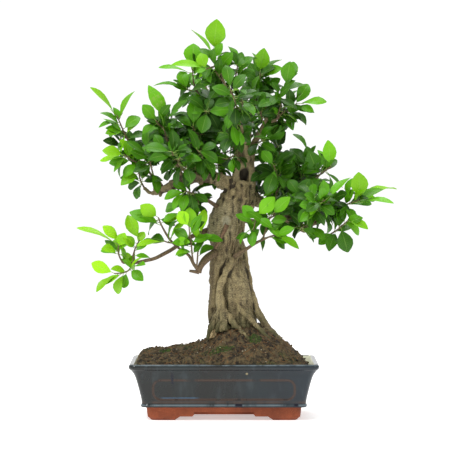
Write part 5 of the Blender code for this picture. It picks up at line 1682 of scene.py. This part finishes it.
    @staticmethod
    def dead_twig(skin: BVHTree) -> bmesh.types.BMesh:
        """Hang the dead twig in front of the bark.

        Args:
            skin: the bark.

        Returns:
            The twig.
        """
        route = []
        for order, (x, z, radius) in enumerate(STUB):
            hit = skin.ray_cast(Vector((x, -90, z)), Vector((0, 1, 0)))[0]
            route.append((x, hit.y - 0.4 - 1.3 * order, z, radius))
        return tubes([smooth_route(route, 4)], 10)

    def build(self) -> None:
        """Build the bark, the root threads and the dead twig."""
        bm = self.skin()
        surface = BVHTree.FromBMesh(bm)
        threads = self.threads(surface)
        twig = self.dead_twig(surface)
        material = self.bark.make()
        nodes = ["trunk", "aerial_root", "left_limb", "right_limb", "crown_limbs"]
        finish_piece("bark", bm, [material], Slot.BARK, nodes, 180.0)
        finish_piece("root_threads", threads, [material], Slot.BARK, smooth_angle=180.0)
        rust = TwigFinish("dead_twig_bark", tone(120, 84, 62), tone(112, 92, 66))
        finish_piece("dead_twig", twig, [rust.make()], Slot.BARK, smooth_angle=180.0)


# ------------------------------------------------------------------------------------- leaves
@dataclass
class Blade:
    """One leaf: where it grows, how it points and how it looks."""

    base: Vector
    angle: float
    length: float
    width: float
    turn: float
    lean: float
    age: float
    lot: float

    def frame_matrix(self) -> Matrix:
        """Return the leaf's own frame.

        Returns:
            A matrix with the leaf's length, width and face as its columns and its base as its place.
        """
        a, s = math.radians(self.angle), math.radians(self.lean)
        along = Vector((math.cos(a) * math.cos(s), -math.sin(s), math.sin(a) * math.cos(s)))
        face = Vector((0, -1, 0))
        face = (face - along * face.dot(along)).normalized()
        choices = [Matrix.Rotation(math.radians(sign * self.turn), 3, along) @ face for sign in (1, -1)]
        outward = Vector((math.cos(a) * 0.3, 0, 1))
        face = max(choices, key=lambda normal: normal.dot(outward))
        frame_of = Matrix((along, face.cross(along), face)).transposed().to_4x4()
        frame_of.translation = self.base
        return frame_of


class Foliage:
    """Collects the blades and stalks of one leafy piece."""

    STALK_SHARE = 0.14
    HALF_THICK = 0.22

    def __init__(self) -> None:
        """Start with no leaves."""
        self.bm = bmesh.new()
        self.facts = self.bm.loops.layers.float_color.new("leaf")
        self.uv = self.bm.loops.layers.uv.new("blade")
        self.stalks: list[list[tuple[float, float, float, float]]] = []

    @staticmethod
    def half_width(t: float) -> float:
        """Return a leaf's half width at a share of its length, for a width of 1."""
        return 0.5 * max(0.0, math.sin(math.pi * t ** 1.1)) ** 0.8

    def add(self, leaf: Blade) -> None:
        """Add one leaf: a flattened sphere drawn out to a blade, and its stalk.

        Args:
            leaf: what the leaf is like.
        """
        stalk = self.STALK_SHARE * leaf.length
        blade = leaf.length - stalk
        rng = random.Random(leaf.lot * 1e6)
        arch = rng.uniform(0.02, 0.24)
        fold = rng.uniform(0.10, 0.42)
        ripple = rng.uniform(-0.05, 0.05)
        place = leaf.frame_matrix()
        old = len(self.bm.faces)
        made = bmesh.ops.create_uvsphere(self.bm, u_segments=8, v_segments=8, radius=1.0)
        spots = {}
        for point in made["verts"]:
            around = math.atan2(point.co.y, point.co.x)
            t = max(0.0, min(1.0, (point.co.z + 1.0) / 2.0))
            ring = math.hypot(point.co.x, point.co.y)
            share = math.cos(around) if ring > 1e-4 else 0.0
            reach = share * self.half_width(t) * leaf.width
            rise = math.sin(around) if ring > 1e-4 else 0.0
            above = rise * self.HALF_THICK * math.sqrt(max(0.0, math.sin(math.pi * t)))
            bend = fold * abs(reach) + arch * blade * t * (1.0 - t) * 2.4
            bend += ripple * blade * math.sin(t * 6.0) * share
            spots[point] = (0.5 + 0.5 * share, t)
            point.co = place @ Vector((stalk + t * blade, reach, above + bend))
        self.bm.faces.ensure_lookup_table()
        upwards = place.to_3x3() @ Vector((0, 0, 1))
        for face in self.bm.faces[old:]:
            face.normal_update()
            below = 1.0 if upwards.dot(face.normal) < 0 else 0.0
            for loop in face.loops:
                loop[self.uv].uv = spots[loop.vert]
                loop[self.facts] = (leaf.age, leaf.lot, below, 1.0)
        foot = place.translation
        knee = place @ Vector((stalk * 0.6, 0, -0.05 * stalk))
        start = place @ Vector((stalk + 0.12 * blade, 0, -0.3))
        self.stalks.append([(*foot, 0.55), (*knee, 0.42), (*start, 0.3)])

    def build(self, name: str, nodes: Sequence[str], materials: Finishes) -> None:
        """Finish the blades and stalks as pieces.

        Args:
            name: what the leafy piece is called.
            nodes: the CAD nodes that it stands for.
            materials: the finishes of leaves and stalks.
        """
        count = len(self.stalks)
        finish_piece(name + "_leaves", self.bm, [materials["leaf"]], Slot.LEAF, nodes, 70.0)
        finish_piece(name + "_stalks", tubes(self.stalks, 4), [materials["stalk"]], Slot.LEAF)
        LOG.info("%-28s %6d leaves", name, count)


def line_length(line: Line) -> float:
    """Return the length of a line of points."""
    return sum((Vector(b[:3]) - Vector(a[:3])).length for a, b in zip(line, line[1:]))


def point_along(line: Line, from_end: float) -> Vector:
    """Return a point of a line.

    Args:
        line: the line.
        from_end: how far back from its end the point lies.

    Returns:
        The point, or the line's start where the line is shorter.
    """
    for second, first in zip(reversed(line), reversed(line[:-1])):
        here, back = Vector(second[:3]), Vector(first[:3])
        span = (here - back).length
        if from_end <= span:
            return here.lerp(back, from_end / span)
        from_end -= span
    return Vector(line[0][:3])


def nearest_on(lines: Iterable[Line], point: Sequence[float]) -> Vector:
    """Return the point nearest to another on some lines.

    Args:
        lines: the lines.
        point: the other point.

    Returns:
        The nearest point.
    """
    place = Vector(point[:3])
    feet = []
    for line in lines:
        for a, b in zip(line, line[1:]):
            start, end = Vector(a[:3]), Vector(b[:3])
            along = end - start
            part = max(0.0, min(1.0, (place - start).dot(along) / along.length_squared))
            feet.append(start + along * part)
    return min(feet, key=lambda foot: (foot - place).length)


@dataclass
class Crown:
    """All twigs and leaves."""

    fill_twigs: int = 4
    fill_leaves: int = 6
    shoot_fill: int = 4
    leaf: LeafFinish = field(default_factory=LeafFinish)
    stalk: StalkFinish = field(default_factory=StalkFinish)
    twig: TwigFinish = field(default_factory=TwigFinish)

    def listed(self, name: str, number: int, line: Line, leaves: Line, extra: int) -> Iterator[Blade]:
        """Yield the leaves of one listed shoot, from its tip down, then those that fill it.

        Args:
            name: the leafy piece's name.
            number: the shoot's number in it.
            line: the shoot's centreline.
            leaves: (angle, length, width, turn) of each listed leaf.
            extra: how many more grow at random.

        Yields:
            The leaves.
        """
        rng = random.Random("%s %d" % (name, number))
        total = line_length(line)
        step = min(NODE_STEP, 0.85 * total / max(1, len(leaves)))
        age = AGES.get(name, PLAIN_AGE)
        for order, (angle, length, width, turn) in enumerate(leaves):
            lean = 24.0 * math.sin(2.3 * order + number + len(name))
            young = age + 0.22 * math.exp(-order / 2.0) - 0.03 * order
            length *= LISTED_REACH / math.cos(math.radians(lean))
            yield Blade(point_along(line, 0.4 + step * order), angle, length, width, turn, lean,
                        max(0.0, min(1.0, young + 0.1 * math.sin(5.1 * order + len(name)))), rng.random())
        for _ in range(extra + self.shoot_fill):
            base = point_along(line, total * rng.uniform(0.02, 0.8))
            length = rng.uniform(24, 35)
            yield Blade(base, rng.uniform(0, 360), length, length * rng.uniform(0.40, 0.55),
                        rng.uniform(25, 84), rng.uniform(-50, 50),
                        min(1.0, age * rng.uniform(0.3, 1.5)), rng.random())

    def spray(self, name: str, stems: Sequence[Line], shoots: Sequence[tuple],
              materials: Finishes) -> list[Line]:
        """Build one leafy piece.

        Args:
            name: its name, which is also its CAD node's.
            stems: the routes of its listed stems.
            shoots: (route, leaves, how many more) of each shoot.
            materials: the finishes of leaves and stalks.

        Returns:
            The centrelines of its twigs.
        """
        routes = [deepened(stem) for stem in stems]
        for route, _, _ in shoots:
            last = len(route) - 1
            routes.append([(x, y, z, TWIG_R + (TIP_R - TWIG_R) * k / last)
                           for k, (x, y, z) in enumerate(deepened(route))])
        lines = []
        for route in routes:
            if lines:
                foot = nearest_on(lines, route[0])
                route[0] = (*foot, route[0][3])
            lines.append(smooth_route(route, 4))
        foliage = Foliage()
        for number, (line, (_, leaves, extra)) in enumerate(zip(lines[-len(shoots):], shoots)):
            for leaf in self.listed(name, number, line, leaves, extra):
                foliage.add(leaf)
        foliage.build(name, [name], materials)
        return lines

    def leafy_twig(self, foliage: Foliage, rng: random.Random, ends: tuple[Vector, Vector],
                   lifts: tuple[float, float], thick: float) -> Line:
        """Grow a short twig with leaves turned every way.

        Args:
            foliage: what the leaves are added to.
            rng: the source of the leaves' turns and sizes.
            ends: where the twig starts, and where it would end if it grew straight.
            lifts: how far its middle and its tip bend up.
            thick: its radius where it starts.

        Returns:
            Its centreline.
        """
        base, straight = ends
        long = (straight - base).length
        knee = base.lerp(straight, 0.5) + Vector((0, 0, lifts[0]))
        tip = straight + Vector((0, 0, lifts[1]))
        twig = smooth_route([(*base, thick), (*knee, 0.9), (*tip, 0.7)], 3)
        for order in range(self.fill_leaves):
            length = rng.uniform(23, 34)
            foliage.add(Blade(point_along(twig, 0.3 + long * 0.85 * order / self.fill_leaves),
                              rng.uniform(0, 360), length, length * rng.uniform(0.40, 0.54),
                              rng.uniform(20, 84), rng.uniform(-50, 50),
                              0.55 * rng.random() ** 1.4, rng.random()))
        return twig

    def fill(self, name: str, limb: Sequence[Line], materials: Finishes) -> list[Line]:
        """Fill the inside of a limb's foliage with short leafy twigs.

        Args:
            name: the limb's name.
            limb: the routes of its branches.
            materials: the finishes of leaves and stalks.

        Returns:
            The twigs' centrelines.
        """
        foliage = Foliage()
        twigs = []
        for number, branch in enumerate(limb):
            line = smooth_route(deepened(branch), 5)
            rng = random.Random("%s fill %d" % (name, number))
            total = line_length(line)
            out = (Vector(line[-1][:3]) - Vector(line[0][:3])).normalized()
            for _ in range(self.fill_twigs):
                base = point_along(line, total * rng.uniform(0.0, 0.5))
                way = (out + Vector([rng.uniform(-1.0, 1.0) for _ in range(3)])).normalized()
                straight = base + way * rng.uniform(16, 30)
                twigs.append(self.leafy_twig(foliage, rng, (base, straight), (2, 5), 1.1))
        foliage.build(name + "_fill", [], materials)
        return twigs

    def infill(self, materials: Finishes) -> list[Line]:
        """Fill the inside of the crown with short leafy twigs.

        Args:
            materials: the finishes of leaves and stalks.

        Returns:
            The twigs' centrelines.
        """
        foliage = Foliage()
        twigs = []
        rng = random.Random(19)
        for x, y, z in INNER:
            for _ in range(2):
                base = Vector((x, y * CROWN_DEPTH, z))
                way = Vector([rng.uniform(-1.0, 1.0) for _ in range(3)]).normalized()
                straight = base + way * rng.uniform(14, 24)
                twigs.append(self.leafy_twig(foliage, rng, (base, straight), (0, 4), 1.0))
        foliage.build("inner_fill", [], materials)
        return twigs

    def build(self) -> None:
        """Build every leafy piece, then all twigs as one."""
        materials = {"leaf": self.leaf.make(), "stalk": self.stalk.make()}
        lines: list[Line] = []
        for name, (stems, shoots) in SPRAYS.items():
            lines += self.spray(name, stems, shoots, materials)
        for name, limb in LIMBS.items():
            lines += self.fill(name, limb if name == "crown_limbs" else limb[1:], materials)
        lines += self.infill(materials)
        bm = tubes(lines, 8)
        finish_piece("twigs", bm, [self.twig.make()], Slot.BARK, smooth_angle=180.0)


# --------------------------------------------------------------------------------------- stage
@dataclass
class Studio:
    """The camera, the pale floor and the soft lights."""

    distance_mm: float = 3660.0
    eye_height_mm: float = 339.0
    aim_mm: tuple = (2.7, 0.0, 250.6)
    lens_mm: float = 217.6
    floor_radius: float = 4.0
    horizon_light: float = 1.05
    room_light: float = 0.6

    def camera(self) -> None:
        """Place the camera in front of the tree."""
        data = bpy.data.cameras.new("front_camera")
        data.lens = self.lens_mm
        data.sensor_width = 36.0
        data.clip_end = 20.0
        made = bpy.data.objects.new("front_camera", data)
        made.location = set_down((self.aim_mm[0], -self.distance_mm, self.eye_height_mm))
        aim = set_down(self.aim_mm)
        made.rotation_euler = (aim - made.location).to_track_quat("-Z", "Y").to_euler()
        bpy.context.scene.collection.objects.link(made)
        bpy.context.scene.camera = made

    def floor(self) -> None:
        """Lay a wide pale floor."""
        bm = bmesh.new()
        bmesh.ops.create_circle(bm, cap_ends=True, segments=64, radius=self.floor_radius)
        floor = loose_object("pale_floor", bm)
        floor.data.materials.append(StageFinish().make())

    def sky(self) -> None:
        """Surround the stage with soft light that is brightest along the horizon."""
        g = Graph("soft_room", world=True)
        _, _, height = g.split(g.node("ShaderNodeTexCoord", output="Generated"))
        level = g.node("ShaderNodeMapRange", {
            "Value": abs(height), "From Min": 0.12, "From Max": 0.24, "To Min": self.horizon_light,
            "To Max": self.room_light}, interpolation_type="SMOOTHSTEP")
        bpy.context.scene.world = g.finish(Color=(1.0, 1.0, 1.0, 1.0), Strength=level)

    @staticmethod
    def lamp(name: str, place: Sequence[float], size: float, power: float) -> None:
        """Hang a square soft light that faces the tree.

        Args:
            name: its name.
            place: where it hangs, in metres.
            size: its side in metres.
            power: its power in watts.
        """
        data = bpy.data.lights.new(name, "AREA")
        data.shape = "SQUARE"
        data.size = size
        data.energy = power
        made = bpy.data.objects.new(name, data)
        made.location = place
        aim = Vector((0.0, 0.0, 0.28))
        made.rotation_euler = (aim - made.location).to_track_quat("-Z", "Y").to_euler()
        bpy.context.scene.collection.objects.link(made)

    def build(self) -> None:
        """Set up the studio."""
        scene = bpy.context.scene
        scene.view_settings.view_transform = "Standard"
        scene.view_settings.look = "None"
        self.camera()
        self.floor()
        self.sky()
        self.lamp("key_light", (-1.2, -1.7, 2.4), 1.1, 50.0)
        self.lamp("fill_light", (2.0, -1.6, 1.2), 1.4, 8.0)
        self.lamp("top_light", (0.1, 0.4, 2.2), 1.2, 26.0)


def dress_nets() -> None:
    """Give the frame's drain nets their finish."""
    material = NetFinish().make()
    for node in ("drain_mesh_left", "drain_mesh_right"):
        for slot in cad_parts[node].material_slots:
            slot.material = material


def main() -> None:
    """Build the tree's looks."""
    logging.basicConfig(level=logging.INFO, format="%(message)s")
    Studio().build()
    Tray().build()
    Ground().build()
    Wood().build()
    Crown().build()
    dress_nets()


if __name__ == "__main__":
    main()
